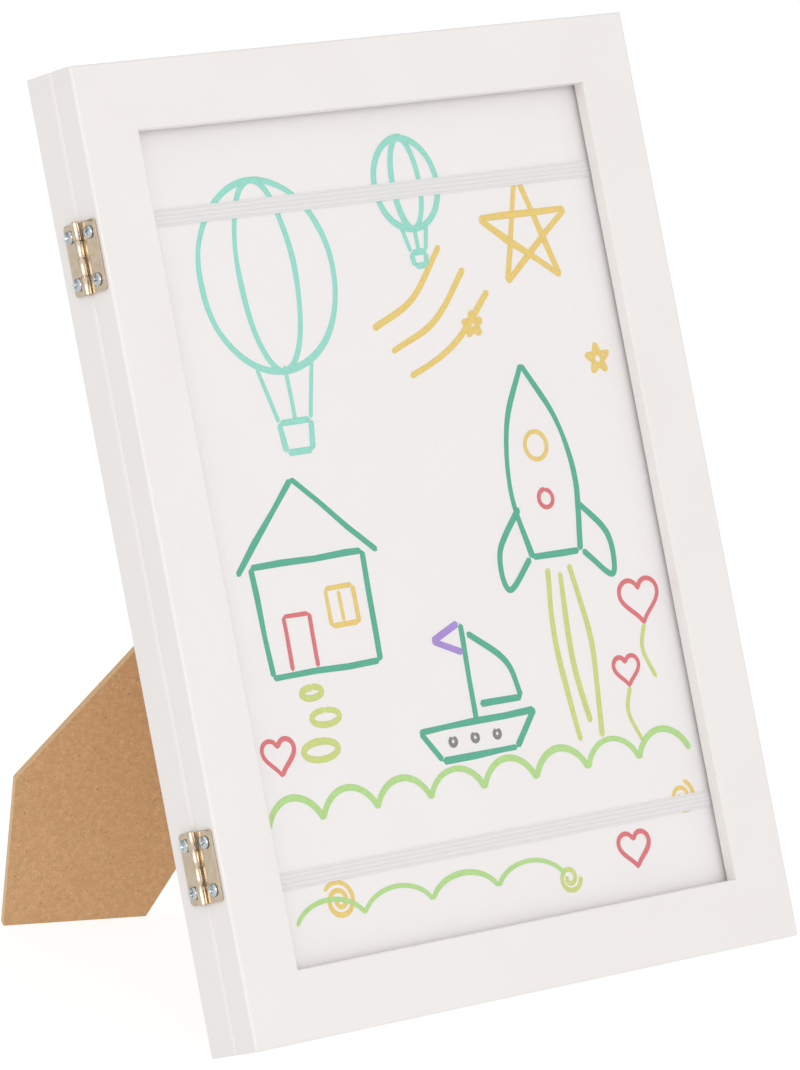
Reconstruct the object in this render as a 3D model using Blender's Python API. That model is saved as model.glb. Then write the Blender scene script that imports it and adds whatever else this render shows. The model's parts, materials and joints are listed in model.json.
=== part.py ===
"""Childrens art frame: an A4 frame whose glazed door opens from the front, with the drawings kept behind it.

Lengths are in metres. The frame is built upright: x to the right, y to the back with zero at the back faces
of the box, z up from its bottom edge. It is then leaned back on that edge and on its strut.
"""

import math

import bmesh
import bpy
from mathutils import Matrix, Vector

MM = 0.001

# Clearances
SEAT_GAP = 0.2 * MM
WOOD_GAP = 0.3 * MM
PAPER_GAP = 0.15 * MM
HOLE_CLEARANCE = 0.1 * MM
PIN_CLEARANCE = 0.05 * MM
OVERRUN = 2.0 * MM
WELD_DISTANCE = 0.001 * MM

# The A4 sheets and the room round them
SHEET_WIDTH = 210.0 * MM
SHEET_HEIGHT = 297.0 * MM
SHEET_THICKNESS = 0.3 * MM
SHEET_SIDE_ROOM = 2.0 * MM
SHEET_TOP_ROOM = 4.7 * MM

# The box
BOX_WALL = 17.0 * MM
BOX_DEPTH = 13.8 * MM
SEAM_ARRIS = 0.5 * MM
PANEL_THICKNESS = 3.0 * MM
PANEL_LEDGE = 4.5 * MM
PANEL_RECESS = 1.0 * MM

# The door
DOOR_DEPTH = 10.8 * MM
SEAM_GAP = 0.4 * MM
FACE_COVER = 7.0 * MM
LIP_DEPTH = 5.0 * MM
LAND_SETBACK = 0.2 * MM
FRONT_ARRIS = 0.8 * MM
WINDOW_ARRIS = 0.6 * MM
PANE_THICKNESS = 1.0 * MM
PANE_SIDE_GAP = 0.4 * MM

# The tabs that hold the pane
TAB_WIDTH = 12.0 * MM
TAB_THICKNESS = 0.5 * MM
TAB_IN_WOOD = 5.0 * MM
TAB_REACH = 4.5 * MM

# The elastic bands
BAND_WIDTH = 6.0 * MM
BAND_THICKNESS = 0.7 * MM
BAND_FROM_END = 54.0 * MM
BAND_TO_PANE = 0.6 * MM
BAND_BEND = 0.4 * MM
BAND_TAIL = 8.8 * MM

# Staples
WIRE = 0.6 * MM
BAND_STAPLE_FROM_FRONT = 5.3 * MM
BAND_STAPLE_IN_WOOD = 4.0 * MM
PANEL_STAPLE_CROWN = 9.0 * MM
PANEL_STAPLE_IN_WOOD = 5.0 * MM

# The side hinges
HINGE_FROM_END = 64.0 * MM
HINGE_HEIGHT = 24.5 * MM
BOX_LEAF_REACH = 8.0 * MM
DOOR_LEAF_REACH = 9.4 * MM
LEAF_NOTCH = 2.0 * MM
LEAF_METAL = 0.8 * MM
LEAF_CORNER = 1.5 * MM
BARREL_RADIUS = 1.6 * MM
KNUCKLE_GAP = 0.2 * MM
KNUCKLES = 4
PIN_HEAD_RADIUS = 1.25 * MM
PIN_HEAD_HEIGHT = 0.4 * MM

# The hinge screws
BOX_SCREW_FROM_PIN = 5.2 * MM
DOOR_SCREW_FROM_PIN = 5.9 * MM
SCREW_SPACING = 16.2 * MM
SCREW_HEAD_RADIUS = 2.3 * MM
SCREW_HEAD_RIM = 0.35 * MM
SCREW_HEAD_HEIGHT = 1.15 * MM
SCREW_SHANK_RADIUS = 1.2 * MM
SCREW_LENGTH = 9.0 * MM
SCREW_POINT = 2.5 * MM
CROSS_LENGTH = 2.6 * MM
CROSS_WIDTH = 0.6 * MM
CROSS_DEPTH = 0.75 * MM

# The magnetic catches
CATCH_FROM_END = 64.0 * MM
MAGNET_RADIUS = 4.0 * MM
MAGNET_DEPTH = 4.0 * MM
STRIKE_RADIUS = 4.0 * MM
STRIKE_DEPTH = 1.0 * MM

# The lean of the frame and the diagonal strut behind it
LEAN = math.radians(18.5)
DIAGONAL = math.radians(33.0)
STRUT_PIN_X = 30.5 * MM
STRUT_PIN_Z = 214.1 * MM
STRUT_THICKNESS = 3.0 * MM
STRUT_BACK_GAP = 0.3 * MM
STRUT_TOP_FROM_PIN = 2.4 * MM
STRUT_TOP_LEFT = 18.8 * MM
STRUT_TOP_RIGHT = 15.5 * MM
FOOT_SIDE_INSET = 11.3 * MM
FOOT_BOTTOM_INSET = 3.6 * MM
FOOT_SIDE_EDGE = 60.9 * MM
FOOT_BOTTOM_EDGE = 53.5 * MM

# The strut hinge
STRUT_HINGE_WIDTH = 30.0 * MM
FIXED_LEAF_REACH = 14.0 * MM
MOVING_LEAF_REACH = 16.0 * MM
STRUT_LEAF_METAL = 0.8 * MM
STRUT_LEAF_CORNER = 2.0 * MM
STRUT_LEAF_NOTCH = 2.0 * MM
STRUT_BARREL_RADIUS = 1.5 * MM
OUTER_KNUCKLE = 6.0 * MM
TONGUE_REACH = 5.7 * MM

# The rivets of the strut hinge
RIVET_FROM_PIN = 10.0 * MM
RIVET_SPACING = 18.0 * MM
RIVET_HEAD_RADIUS = 2.5 * MM
RIVET_HEAD_HEIGHT = 0.9 * MM
RIVET_SHANK_RADIUS = 1.4 * MM
RIVET_TAIL_RADIUS = 2.1 * MM
RIVET_TAIL_DEPTH = 0.6 * MM

# The sawtooth hangers and their nails
HANGER_LENGTH = 42.0 * MM
HANGER_HEIGHT = 8.5 * MM
HANGER_THICKNESS = 0.8 * MM
HANGER_CORNER = 1.5 * MM
HANGER_TOOTHED_LENGTH = 25.2 * MM
HANGER_TOOTH = 1.5 * MM
HANGER_TEETH = 9
NAIL_FROM_END = 4.5 * MM
NAIL_HEAD_RADIUS = 1.7 * MM
NAIL_HEAD_HEIGHT = 0.6 * MM
NAIL_SHANK_RADIUS = 0.6 * MM
NAIL_LENGTH = 9.0 * MM
NAIL_POINT = 1.5 * MM

# How finely round shapes are stepped
ARC_STEPS = 3
DOME_STEPS = 3
ROUND_STEPS = 16
CURL_STEPS = 13
QUARTER = math.pi / 2
CURL_STEP = QUARTER / 4
SMOOTH_UP_TO = math.radians(40)

# Worked out from the sizes above
FRAME_WIDTH = SHEET_WIDTH + 2 * (SHEET_SIDE_ROOM + BOX_WALL)
FRAME_HEIGHT = SHEET_HEIGHT + WOOD_GAP + SHEET_TOP_ROOM + 2 * BOX_WALL
HALF_WIDTH = FRAME_WIDTH / 2
MIDDLE = FRAME_HEIGHT / 2
CAVITY_HALF = HALF_WIDTH - BOX_WALL
FACE_WIDTH = BOX_WALL + FACE_COVER
DOOR_LAND = BOX_WALL - LAND_SETBACK
BACK_LAND = BOX_WALL - PANEL_LEDGE

# Depths, from the back faces of the box to the front of the door
BOX_FRONT = -BOX_DEPTH
DOOR_BACK = BOX_FRONT - SEAM_GAP
DOOR_FRONT = DOOR_BACK - DOOR_DEPTH
LIP_BACK = DOOR_FRONT + LIP_DEPTH
PANE_FRONT = LIP_BACK + SEAT_GAP
PANE_BACK = PANE_FRONT + PANE_THICKNESS
TAB_FRONT = PANE_BACK + SEAT_GAP
PANEL_BACK = -PANEL_RECESS
PANEL_FRONT = PANEL_BACK - PANEL_THICKNESS
LEDGE_BACK = PANEL_FRONT - SEAT_GAP
BAND_BACK = PANE_BACK + BAND_TO_PANE + BAND_THICKNESS
SHEET_FRONT = BAND_BACK + PAPER_GAP
SHEET_BACK = SHEET_FRONT + SHEET_THICKNESS
SHEET_BOTTOM = BOX_WALL + WOOD_GAP

# The pins that the door and the strut turn on
HINGE_PIN = Vector((-HALF_WIDTH - SEAT_GAP - BARREL_RADIUS, BOX_FRONT - SEAM_GAP / 2, 0.0))
STRUT_PIN = Vector((STRUT_PIN_X, PANEL_BACK + SEAT_GAP + STRUT_BARREL_RADIUS, STRUT_PIN_Z))
STRUT_FRONT = STRUT_BACK_GAP - STRUT_PIN.y
STRUT_BACK = STRUT_FRONT + STRUT_THICKNESS

# Ways and turns
RIGHT = Vector((1, 0, 0))
BACK = Vector((0, 1, 0))
UP = Vector((0, 0, 1))
CENTRE = Vector((0, 0, 0))
UNTURNED = (0.0, 0.0, 0.0)
HEAD_TO_LEFT = (0.0, -QUARTER, 0.0)
HEAD_TO_BACK = (-QUARTER, 0.0, 0.0)
HEAD_TO_FRONT = (QUARTER, 0.0, 0.0)

# For each side: the way out, the way along it, and how far it lies from the middle
SIDES = {
    "top": (UP, RIGHT, MIDDLE),
    "bottom": (-UP, RIGHT, MIDDLE),
    "left": (-RIGHT, UP, HALF_WIDTH),
    "right": (RIGHT, UP, HALF_WIDTH),
}

# Display colour, roughness, metallic value and alpha of each finish
FINISHES = {
    "white_paint": ((240, 236, 233), 0.45, 0.0, 1.0),
    "mdf": ((190, 145, 100), 0.85, 0.0, 1.0),
    "paper": ((238, 235, 233), 0.9, 0.0, 1.0),
    "elastic": ((242, 241, 240), 0.8, 0.0, 1.0),
    "clear_pane": ((240, 244, 244), 0.05, 0.0, 0.2),
    "nickel": ((198, 182, 158), 0.3, 1.0, 1.0),
    "zinc": ((200, 211, 213), 0.35, 1.0, 1.0),
    "steel": ((178, 178, 180), 0.4, 1.0, 1.0),
    "magnet": ((120, 118, 116), 0.5, 1.0, 1.0),
}


# Where the strut stands

def on_strut(x, z):
    """A place on the folded strut, as distances along its hinge and down from its pin."""
    right = x - STRUT_PIN_X
    up = z - STRUT_PIN_Z
    along = right * math.cos(DIAGONAL) - up * math.sin(DIAGONAL)
    down = -right * math.sin(DIAGONAL) - up * math.cos(DIAGONAL)
    return along, down


def opening_angle():
    """How far the strut opens until the front edge of its foot corner meets the floor."""
    along, down = on_strut(-HALF_WIDTH + FOOT_SIDE_INSET, FOOT_BOTTOM_INSET)
    pin_height = STRUT_PIN_Z * math.cos(LEAN) - STRUT_PIN.y * math.sin(LEAN)
    drop = pin_height - along * math.sin(DIAGONAL) * math.cos(LEAN)
    folded_fall = math.cos(DIAGONAL) * math.cos(LEAN)
    square_fall = math.sin(LEAN)
    steepest = math.atan2(square_fall, folded_fall)
    reach = math.hypot(down, STRUT_FRONT) * math.hypot(folded_fall, square_fall)
    return steepest + math.acos(drop / reach) - math.atan2(STRUT_FRONT, down)


OPEN = opening_angle()


def strut_outline():
    """The board's corners, with the foot's bottom edge level when the strut is open."""
    corner_x = -HALF_WIDTH + FOOT_SIDE_INSET
    corner = Vector(on_strut(corner_x, FOOT_BOTTOM_INSET))
    side = Vector(on_strut(corner_x, FOOT_BOTTOM_INSET + FOOT_SIDE_EDGE))
    down_fall = math.cos(OPEN) * math.cos(DIAGONAL) * math.cos(LEAN) + math.sin(OPEN) * math.sin(LEAN)
    level = Vector((down_fall, -math.sin(DIAGONAL) * math.cos(LEAN))).normalized()
    return [
        Vector((-STRUT_TOP_LEFT, STRUT_TOP_FROM_PIN)),
        side,
        corner,
        corner + level * FOOT_BOTTOM_EDGE,
        Vector((STRUT_TOP_RIGHT, STRUT_TOP_FROM_PIN)),
    ]


def standing_place():
    """Where the frame's own zero goes, so that the whole stands centred over the world's origin."""
    leaned = Matrix.Rotation(-LEAN, 3, "X")
    opened = Matrix.Rotation(DIAGONAL, 3, "Y") @ Matrix.Rotation(OPEN, 3, "X")
    rearmost = max(
        (leaned @ (STRUT_PIN + opened @ Vector((along, face, -down)))).y
        for along, down in strut_outline()
        for face in (STRUT_FRONT, STRUT_BACK)
    )
    arris = Vector((0.0, DOOR_FRONT + FRONT_ARRIS, FRONT_ARRIS))
    foremost = (leaned @ arris).y - FRONT_ARRIS
    leftmost = HINGE_PIN.x - BARREL_RADIUS
    return (-(leftmost + HALF_WIDTH) / 2, -(foremost + rearmost) / 2, 0.0)


# Finishes

def linear(value):
    """A display value from 0 to 255 as a linear one."""
    share = value / 255
    return share / 12.92 if share <= 0.04045 else ((share + 0.055) / 1.055) ** 2.4


def finish(name):
    """The material of that name, made when it is first asked for."""
    if name in bpy.data.materials:
        return bpy.data.materials[name]
    colour, roughness, metallic, alpha = FINISHES[name]
    material = bpy.data.materials.new(name)
    material.use_nodes = True
    shader = material.node_tree.nodes["Principled BSDF"]
    shader.inputs["Base Color"].default_value = (*map(linear, colour), 1.0)
    shader.inputs["Roughness"].default_value = roughness
    shader.inputs["Metallic"].default_value = metallic
    shader.inputs["Alpha"].default_value = alpha
    return material


# Outlines

def rectangle(low, high, half):
    return [(low, -half), (high, -half), (high, half), (low, half)]


def rounded(points, radii):
    """The outline with an arc of its radius at each corner, and a sharp corner where that is zero."""
    outline = []
    for index, (corner, radius) in enumerate(zip(points, radii)):
        here = Vector(corner)
        if radius == 0:
            outline.append(here)
            continue
        before = (Vector(points[index - 1]) - here).normalized()
        after = (Vector(points[(index + 1) % len(points)]) - here).normalized()
        half = before.angle(after) / 2
        centre = here + (before + after).normalized() * (radius / math.sin(half))
        first = here + before * (radius / math.tan(half)) - centre
        last = here + after * (radius / math.tan(half)) - centre
        turn = math.atan2(first.x * last.y - first.y * last.x, first.dot(last))
        for step in range(ARC_STEPS + 1):
            outline.append(centre + Matrix.Rotation(turn * step / ARC_STEPS, 2) @ first)
    return outline


def beside(path, distance):
    """The path moved to its right by a distance, its corners mitred."""
    moved = []
    for index, point in enumerate(path):
        here = Vector(point)
        before = here - Vector(path[max(index - 1, 0)])
        after = Vector(path[min(index + 1, len(path) - 1)]) - here
        rights = [Vector((way.y, -way.x)).normalized() for way in (before, after) if way.length > 0]
        middle = (rights[0] + rights[-1]).normalized()
        moved.append(here + middle * (distance / middle.dot(rights[0])))
    return moved


def dome(radius, rim, height):
    """Radius and height of a dome's profile, from its top to its rim."""
    turns = [QUARTER * step / DOME_STEPS for step in range(DOME_STEPS + 1)]
    return [(radius * math.sin(turn), rim + (height - rim) * math.cos(turn)) for turn in turns]


# Meshes

def mesh_of(name, bm, smooth=False):
    """The bmesh as a mesh whose faces point outwards."""
    bmesh.ops.recalc_face_normals(bm, faces=bm.faces)
    mesh = bpy.data.meshes.new(name)
    bm.to_mesh(mesh)
    bm.free()
    if smooth:
        mesh.shade_smooth()
        mesh.set_sharp_from_angle(angle=SMOOTH_UP_TO)
    return mesh


def lofted(name, rings, smooth=False):
    """Rings of like count joined one to the next, with the first and the last filled."""
    bm = bmesh.new()
    loops = [[bm.verts.new(point) for point in ring] for ring in rings]
    bm.faces.new(loops[0])
    bm.faces.new(loops[-1])
    for near, far in zip(loops, loops[1:]):
        for index in range(len(near)):
            bm.faces.new((near[index - 1], near[index], far[index], far[index - 1]))
    return mesh_of(name, bm, smooth)


def prism(name, outline, low, high, ways):
    """An outline along the first two ways, carried along the third from low to high."""
    across, up, along = ways
    rings = [[across * a + up * b + along * level for a, b in outline] for level in (low, high)]
    return lofted(name, rings)


def turned(name, profile):
    """A profile of radius and height turned about the z axis."""
    bm = bmesh.new()
    points = [bm.verts.new((radius, 0.0, height)) for radius, height in profile]
    line = points + [bm.edges.new(pair) for pair in zip(points, points[1:])]
    full = 4 * QUARTER
    bmesh.ops.spin(bm, geom=line, cent=CENTRE, axis=UP, angle=full, steps=ROUND_STEPS, use_merge=True)
    bmesh.ops.remove_doubles(bm, verts=bm.verts, dist=WELD_DISTANCE)
    return mesh_of(name, bm, smooth=True)


def rod(name, radius, top, bottom):
    """A plain round bar between two heights."""
    return turned(name, [(0.0, top), (radius, top), (radius, bottom), (0.0, bottom)])


def leaf_mesh(name, lines, curled, plate, curl, ways, corner):
    """A hinge leaf: a plate that runs on into a curl between those lines across it that are curled.

    The plate's four places, and the curl's places between its second and third, are (away, out) from the pin.
    """
    away, out, along = ways
    bm = bmesh.new()

    def ring(places, line):
        return [bm.verts.new(away * a + out * b + along * line) for a, b in places]

    plates = [ring(plate, line) for line in lines]
    beside_curl = [any(curled[max(index - 1, 0) : index + 1]) for index in range(len(lines))]
    curls = [ring(curl, line) if has else [] for line, has in zip(lines, beside_curl)]

    def section(line, with_curl):
        return plates[line][:2] + (curls[line] if with_curl else []) + plates[line][2:]

    for index, with_curl in enumerate(curled):
        near = section(index, with_curl)
        far = section(index + 1, with_curl)
        for spot in range(len(near)):
            bm.faces.new((near[spot - 1], near[spot], far[spot], far[spot - 1]))
    for index in range(1, len(lines) - 1):
        bm.faces.new([plates[index][1]] + curls[index] + [plates[index][2]])
    bm.faces.new(section(0, curled[0]))
    bm.faces.new(section(len(lines) - 1, curled[-1]))
    corners = [bm.edges.get((plates[index][0], plates[index][3])) for index in (0, -1)]
    bmesh.ops.bevel(bm, geom=corners, offset=corner, segments=ARC_STEPS, affect="EDGES", profile=0.5)
    return mesh_of(name, bm, smooth=True)


# Objects

def empty(name, parent, at, turn=UNTURNED):
    point = bpy.data.objects.new(name, None)
    bpy.context.collection.objects.link(point)
    point.parent = parent
    point.location = at
    point.rotation_euler = turn
    return point


def place(name, mesh, material, parent, at=CENTRE, turn=UNTURNED):
    thing = bpy.data.objects.new(name, mesh)
    bpy.context.collection.objects.link(thing)
    mesh.materials.append(material)
    thing.parent = parent
    thing.location = at
    thing.rotation_euler = turn
    return thing


def cut(targets, mesh, parent, at=CENTRE, turn=UNTURNED):
    """Takes a shape out of the targets."""
    cutter = bpy.data.objects.new("cutter", mesh)
    bpy.context.collection.objects.link(cutter)
    cutter.parent = parent
    cutter.location = at
    cutter.rotation_euler = turn
    cutter.hide_render = True
    cutter.display_type = "WIRE"
    for target in targets:
        modifier = target.modifiers.new("cut", "BOOLEAN")
        modifier.operation = "DIFFERENCE"
        modifier.solver = "EXACT"
        modifier.object = cutter


# The four mitred lengths of the box and of the door

def box_section():
    """Inward and depth places: a plain bar with a rebate at the back for the panel."""
    corners = [
        (0.0, 0.0),
        (0.0, BOX_FRONT),
        (BOX_WALL, BOX_FRONT),
        (BOX_WALL, LEDGE_BACK),
        (BACK_LAND, LEDGE_BACK),
        (BACK_LAND, 0.0),
    ]
    return rounded(corners, [0.0, SEAM_ARRIS, 0.0, 0.0, 0.0, 0.0])


def door_section():
    """Inward and depth places: a wide lip at the front and a rebate behind it for the pane."""
    corners = [
        (0.0, DOOR_BACK),
        (0.0, DOOR_FRONT),
        (FACE_WIDTH, DOOR_FRONT),
        (FACE_WIDTH, LIP_BACK),
        (DOOR_LAND, LIP_BACK),
        (DOOR_LAND, DOOR_BACK),
    ]
    return rounded(corners, [SEAM_ARRIS, FRONT_ARRIS, WINDOW_ARRIS, 0.0, 0.0, 0.0])


def mitred_mesh(name, section, length):
    """A section carried along x, each end cut back by its inward place and half the mitre's gap."""
    reach = length / 2 - WOOD_GAP * math.sin(QUARTER / 2)
    rings = [[(side * (reach - inward), depth, inward) for inward, depth in section] for side in (-1, 1)]
    return lofted(name, rings, smooth=True)


def four_lengths(prefix, section, parent, zero):
    """The rails and stiles round the frame, placed from the parent's own zero."""
    layout = {
        "bottom": ("rail", FRAME_WIDTH, CENTRE, 0.0),
        "top": ("rail", FRAME_WIDTH, UP * FRAME_HEIGHT, 2 * QUARTER),
        "left": ("stile", FRAME_HEIGHT, UP * MIDDLE - RIGHT * HALF_WIDTH, QUARTER),
        "right": ("stile", FRAME_HEIGHT, UP * MIDDLE + RIGHT * HALF_WIDTH, -QUARTER),
    }
    lengths = {}
    for side, (kind, length, at, turn) in layout.items():
        name = f"{prefix}_{side}_{kind}"
        mesh = mitred_mesh(name, section, length)
        lengths[side] = place(name, mesh, finish("white_paint"), parent, at - zero, (0.0, turn, 0.0))
    return lengths


# What the box holds

def back_panel(frame):
    half_width = CAVITY_HALF + PANEL_LEDGE - WOOD_GAP
    half_height = MIDDLE - BACK_LAND - WOOD_GAP
    outline = rectangle(-half_width, half_width, half_height)
    mesh = prism("back_panel", outline, PANEL_FRONT, PANEL_BACK, (RIGHT, UP, BACK))
    return place("back_panel", mesh, finish("mdf"), frame, UP * MIDDLE)


def sheets(frame):
    """The front sheet, and the stack that fills the box behind it."""
    middle = SHEET_BOTTOM + SHEET_HEIGHT / 2
    outline = rectangle(-SHEET_WIDTH / 2, SHEET_WIDTH / 2, SHEET_HEIGHT / 2)
    depths = {
        "artwork_sheet": (SHEET_FRONT, SHEET_BACK),
        "stored_sheets": (SHEET_BACK + PAPER_GAP, PANEL_FRONT - PAPER_GAP),
    }
    for name, (near, far) in depths.items():
        mesh = prism(name, outline, near, far, (RIGHT, UP, BACK))
        place(name, mesh, finish("paper"), frame, UP * middle)


def band_outline():
    """Across the front of the sheets, round their edges and back along the side walls."""
    wall = CAVITY_HALF - SEAT_GAP - BAND_THICKNESS
    half = [
        (wall, BOX_FRONT + BAND_TAIL),
        (wall, BOX_FRONT + BAND_BEND),
        (SHEET_WIDTH / 2 + PAPER_GAP, BAND_BACK),
    ]
    inner = [(-x, y) for x, y in half] + half[::-1]
    return inner + beside(inner, BAND_THICKNESS)[::-1]


def band(prefix, height, frame, box):
    """One band, with the staple that holds each of its ends to the side wall."""
    mesh = prism(prefix, band_outline(), -BAND_WIDTH / 2, BAND_WIDTH / 2, (RIGHT, BACK, UP))
    place(prefix, mesh, finish("elastic"), frame, UP * height)
    under_crown = CAVITY_HALF - SEAT_GAP - BAND_THICKNESS - PAPER_GAP
    leg = CAVITY_HALF - under_crown + BAND_STAPLE_IN_WOOD
    inside = BAND_WIDTH + 2 * WOOD_GAP
    for side, way in (("left", -RIGHT), ("right", RIGHT)):
        at = way * under_crown + BACK * (BOX_FRONT + BAND_STAPLE_FROM_FRONT) + UP * height
        staple(f"{prefix}_staple_{side}", inside, leg, frame, at, (UP, way, BACK), [box[side]])


def staple(name, inside, leg, parent, at, ways, pierced):
    """A wire staple whose crown lies along the first way and whose legs go along the second."""
    near = inside / 2
    far = near + WIRE
    outline = [
        (-far, -WIRE),
        (far, -WIRE),
        (far, leg),
        (near, leg),
        (near, 0.0),
        (-near, 0.0),
        (-near, leg),
        (-far, leg),
    ]
    place(name, prism(name, outline, -WIRE / 2, WIRE / 2, ways), finish("steel"), parent, at)
    crown, down, across = ways
    half = WIRE / 2 + HOLE_CLEARANCE
    slot = rectangle(-OVERRUN, leg + HOLE_CLEARANCE, half)
    for side in (-1, 1):
        leg_at = at + crown * (side * (near + WIRE / 2))
        cut(pierced, prism("slot", slot, -half, half, (down, crown, across)), parent, leg_at)


def panel_staples(frame, box, panel):
    """One at the middle of each side, through the panel into the ledge."""
    leg = PAPER_GAP + PANEL_THICKNESS + SEAT_GAP + PANEL_STAPLE_IN_WOOD
    inside = PANEL_STAPLE_CROWN - 2 * WIRE
    for side, (outward, along, half) in SIDES.items():
        across_ledge = half - BACK_LAND - PANEL_LEDGE / 2
        at = outward * across_ledge + UP * MIDDLE + BACK * (PANEL_BACK + PAPER_GAP)
        staple(f"panel_staple_{side}", inside, leg, frame, at, (along, -BACK, outward), [panel, box[side]])


# What the door holds

def pane(door):
    half_width = HALF_WIDTH - DOOR_LAND - PANE_SIDE_GAP
    half_height = MIDDLE - DOOR_LAND - PANE_SIDE_GAP
    outline = rectangle(-half_width, half_width, half_height)
    mesh = prism("pane", outline, PANE_FRONT, PANE_BACK, (RIGHT, UP, BACK))
    place("pane", mesh, finish("clear_pane"), door, UP * MIDDLE - HINGE_PIN)


def glazing_tabs(door, lengths):
    """One at the middle of each side, half in a slot in the rebate's wall and half over the pane."""
    at = UP * MIDDLE - HINGE_PIN
    near = TAB_FRONT - HOLE_CLEARANCE
    far = TAB_FRONT + TAB_THICKNESS + HOLE_CLEARANCE
    for side, (outward, along, half) in SIDES.items():
        wall = half - DOOR_LAND
        ways = (outward, along, BACK)
        tab = rectangle(wall - TAB_REACH, wall + TAB_IN_WOOD, TAB_WIDTH / 2)
        mesh = prism("tab", tab, TAB_FRONT, TAB_FRONT + TAB_THICKNESS, ways)
        place(f"glazing_tab_{side}", mesh, finish("steel"), door, at)
        slot = rectangle(wall - OVERRUN, wall + TAB_IN_WOOD + HOLE_CLEARANCE, TAB_WIDTH / 2 + HOLE_CLEARANCE)
        cut([lengths[side]], prism("slot", slot, near, far, ways), door, at)


def catches(frame, door, box_stile, door_stile):
    """Magnets in the box and the steel discs that they hold in the door."""
    for level, height in (("upper", FRAME_HEIGHT - CATCH_FROM_END), ("lower", CATCH_FROM_END)):
        middle = RIGHT * (HALF_WIDTH - BOX_WALL / 2) + UP * height
        at = middle + BACK * BOX_FRONT
        magnet = rod("magnet", MAGNET_RADIUS, 0.0, -MAGNET_DEPTH)
        place(f"{level}_catch_magnet", magnet, finish("magnet"), frame, at, HEAD_TO_FRONT)
        pocket = rod("pocket", MAGNET_RADIUS + HOLE_CLEARANCE, OVERRUN, -MAGNET_DEPTH - HOLE_CLEARANCE)
        cut([box_stile], pocket, frame, at, HEAD_TO_FRONT)
        at = middle + BACK * DOOR_BACK - HINGE_PIN
        strike = rod("strike", STRIKE_RADIUS, 0.0, -STRIKE_DEPTH)
        place(f"{level}_strike_disc", strike, finish("steel"), door, at, HEAD_TO_BACK)
        pocket = rod("pocket", STRIKE_RADIUS + HOLE_CLEARANCE, OVERRUN, -STRIKE_DEPTH - HOLE_CLEARANCE)
        cut([door_stile], pocket, door, at, HEAD_TO_BACK)


# Shapes that both kinds of hinge share

CURL_TURNS = [-QUARTER - CURL_STEP * step for step in range(CURL_STEPS + 1)]


def round_the_pin(radius, turns):
    return [(radius * math.cos(turn), radius * math.sin(turn)) for turn in turns]


def plate_places(reach, notch, barrel, metal):
    return [(reach, -barrel), (notch, -barrel), (notch, metal - barrel), (reach, metal - barrel)]


# The side hinges

def side_leaf(name, first, reach, away):
    """A leaf whose knuckles are every second one from the first, counted from the bottom."""
    height = HINGE_HEIGHT / KNUCKLES
    edges = [height * index - HINGE_HEIGHT / 2 for index in range(KNUCKLES + 1)]
    lines = [edges[0]]
    curled = []
    for index in range(first, KNUCKLES, 2):
        low = edges[index] + (KNUCKLE_GAP / 2 if index else 0.0)
        high = edges[index + 1] - (KNUCKLE_GAP / 2 if index < KNUCKLES - 1 else 0.0)
        if low > lines[-1]:
            lines.append(low)
            curled.append(False)
        lines.append(high)
        curled.append(True)
    if lines[-1] < edges[-1]:
        lines.append(edges[-1])
        curled.append(False)
    bore = BARREL_RADIUS - LEAF_METAL
    curl = round_the_pin(BARREL_RADIUS, CURL_TURNS) + round_the_pin(bore, CURL_TURNS[::-1])
    plate = plate_places(reach, LEAF_NOTCH, BARREL_RADIUS, LEAF_METAL)
    return leaf_mesh(name, lines, curled, plate, curl, (away, -RIGHT, UP), LEAF_CORNER)


def screw_mesh():
    """A pan head with a domed top, on a plain shank with a point."""
    head = dome(SCREW_HEAD_RADIUS, SCREW_HEAD_RIM, SCREW_HEAD_HEIGHT)
    under = [
        (SCREW_HEAD_RADIUS, 0.0),
        (SCREW_SHANK_RADIUS, 0.0),
        (SCREW_SHANK_RADIUS, SCREW_POINT - SCREW_LENGTH),
        (0.0, -SCREW_LENGTH),
    ]
    return turned("screw", head + under)


def cross_outline():
    """The twelve corners of the cross that the driver fits."""
    far = CROSS_LENGTH / 2
    near = CROSS_WIDTH / 2
    arm = [Vector((near, near)), Vector((near, far)), Vector((-near, far))]
    return [Matrix.Rotation(QUARTER * turn, 2) @ point for turn in range(4) for point in arm]


def screw(name, parent, at, pierced):
    """A hinge screw with its head to the left, and the holes that it needs."""
    piece = place(name, screw_mesh(), finish("zinc"), parent, at, HEAD_TO_LEFT)
    low = SCREW_HEAD_HEIGHT - CROSS_DEPTH
    cross = prism("cross", cross_outline(), low, SCREW_HEAD_HEIGHT + OVERRUN, (RIGHT, BACK, UP))
    cut([piece], cross, parent, at, HEAD_TO_LEFT)
    hole = rod("hole", SCREW_SHANK_RADIUS + HOLE_CLEARANCE, OVERRUN, -SCREW_LENGTH - HOLE_CLEARANCE)
    cut(pierced, hole, parent, at, HEAD_TO_LEFT)


def hinge_pin_mesh():
    """A pin with a small head just clear of each end of the barrel."""
    radius = BARREL_RADIUS - LEAF_METAL - PIN_CLEARANCE
    seat = HINGE_HEIGHT / 2 + HOLE_CLEARANCE
    top = seat + PIN_HEAD_HEIGHT
    profile = [
        (0.0, top),
        (PIN_HEAD_RADIUS, top),
        (PIN_HEAD_RADIUS, seat),
        (radius, seat),
        (radius, -seat),
        (PIN_HEAD_RADIUS, -seat),
        (PIN_HEAD_RADIUS, -top),
        (0.0, -top),
    ]
    return turned("pin", profile)


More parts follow.
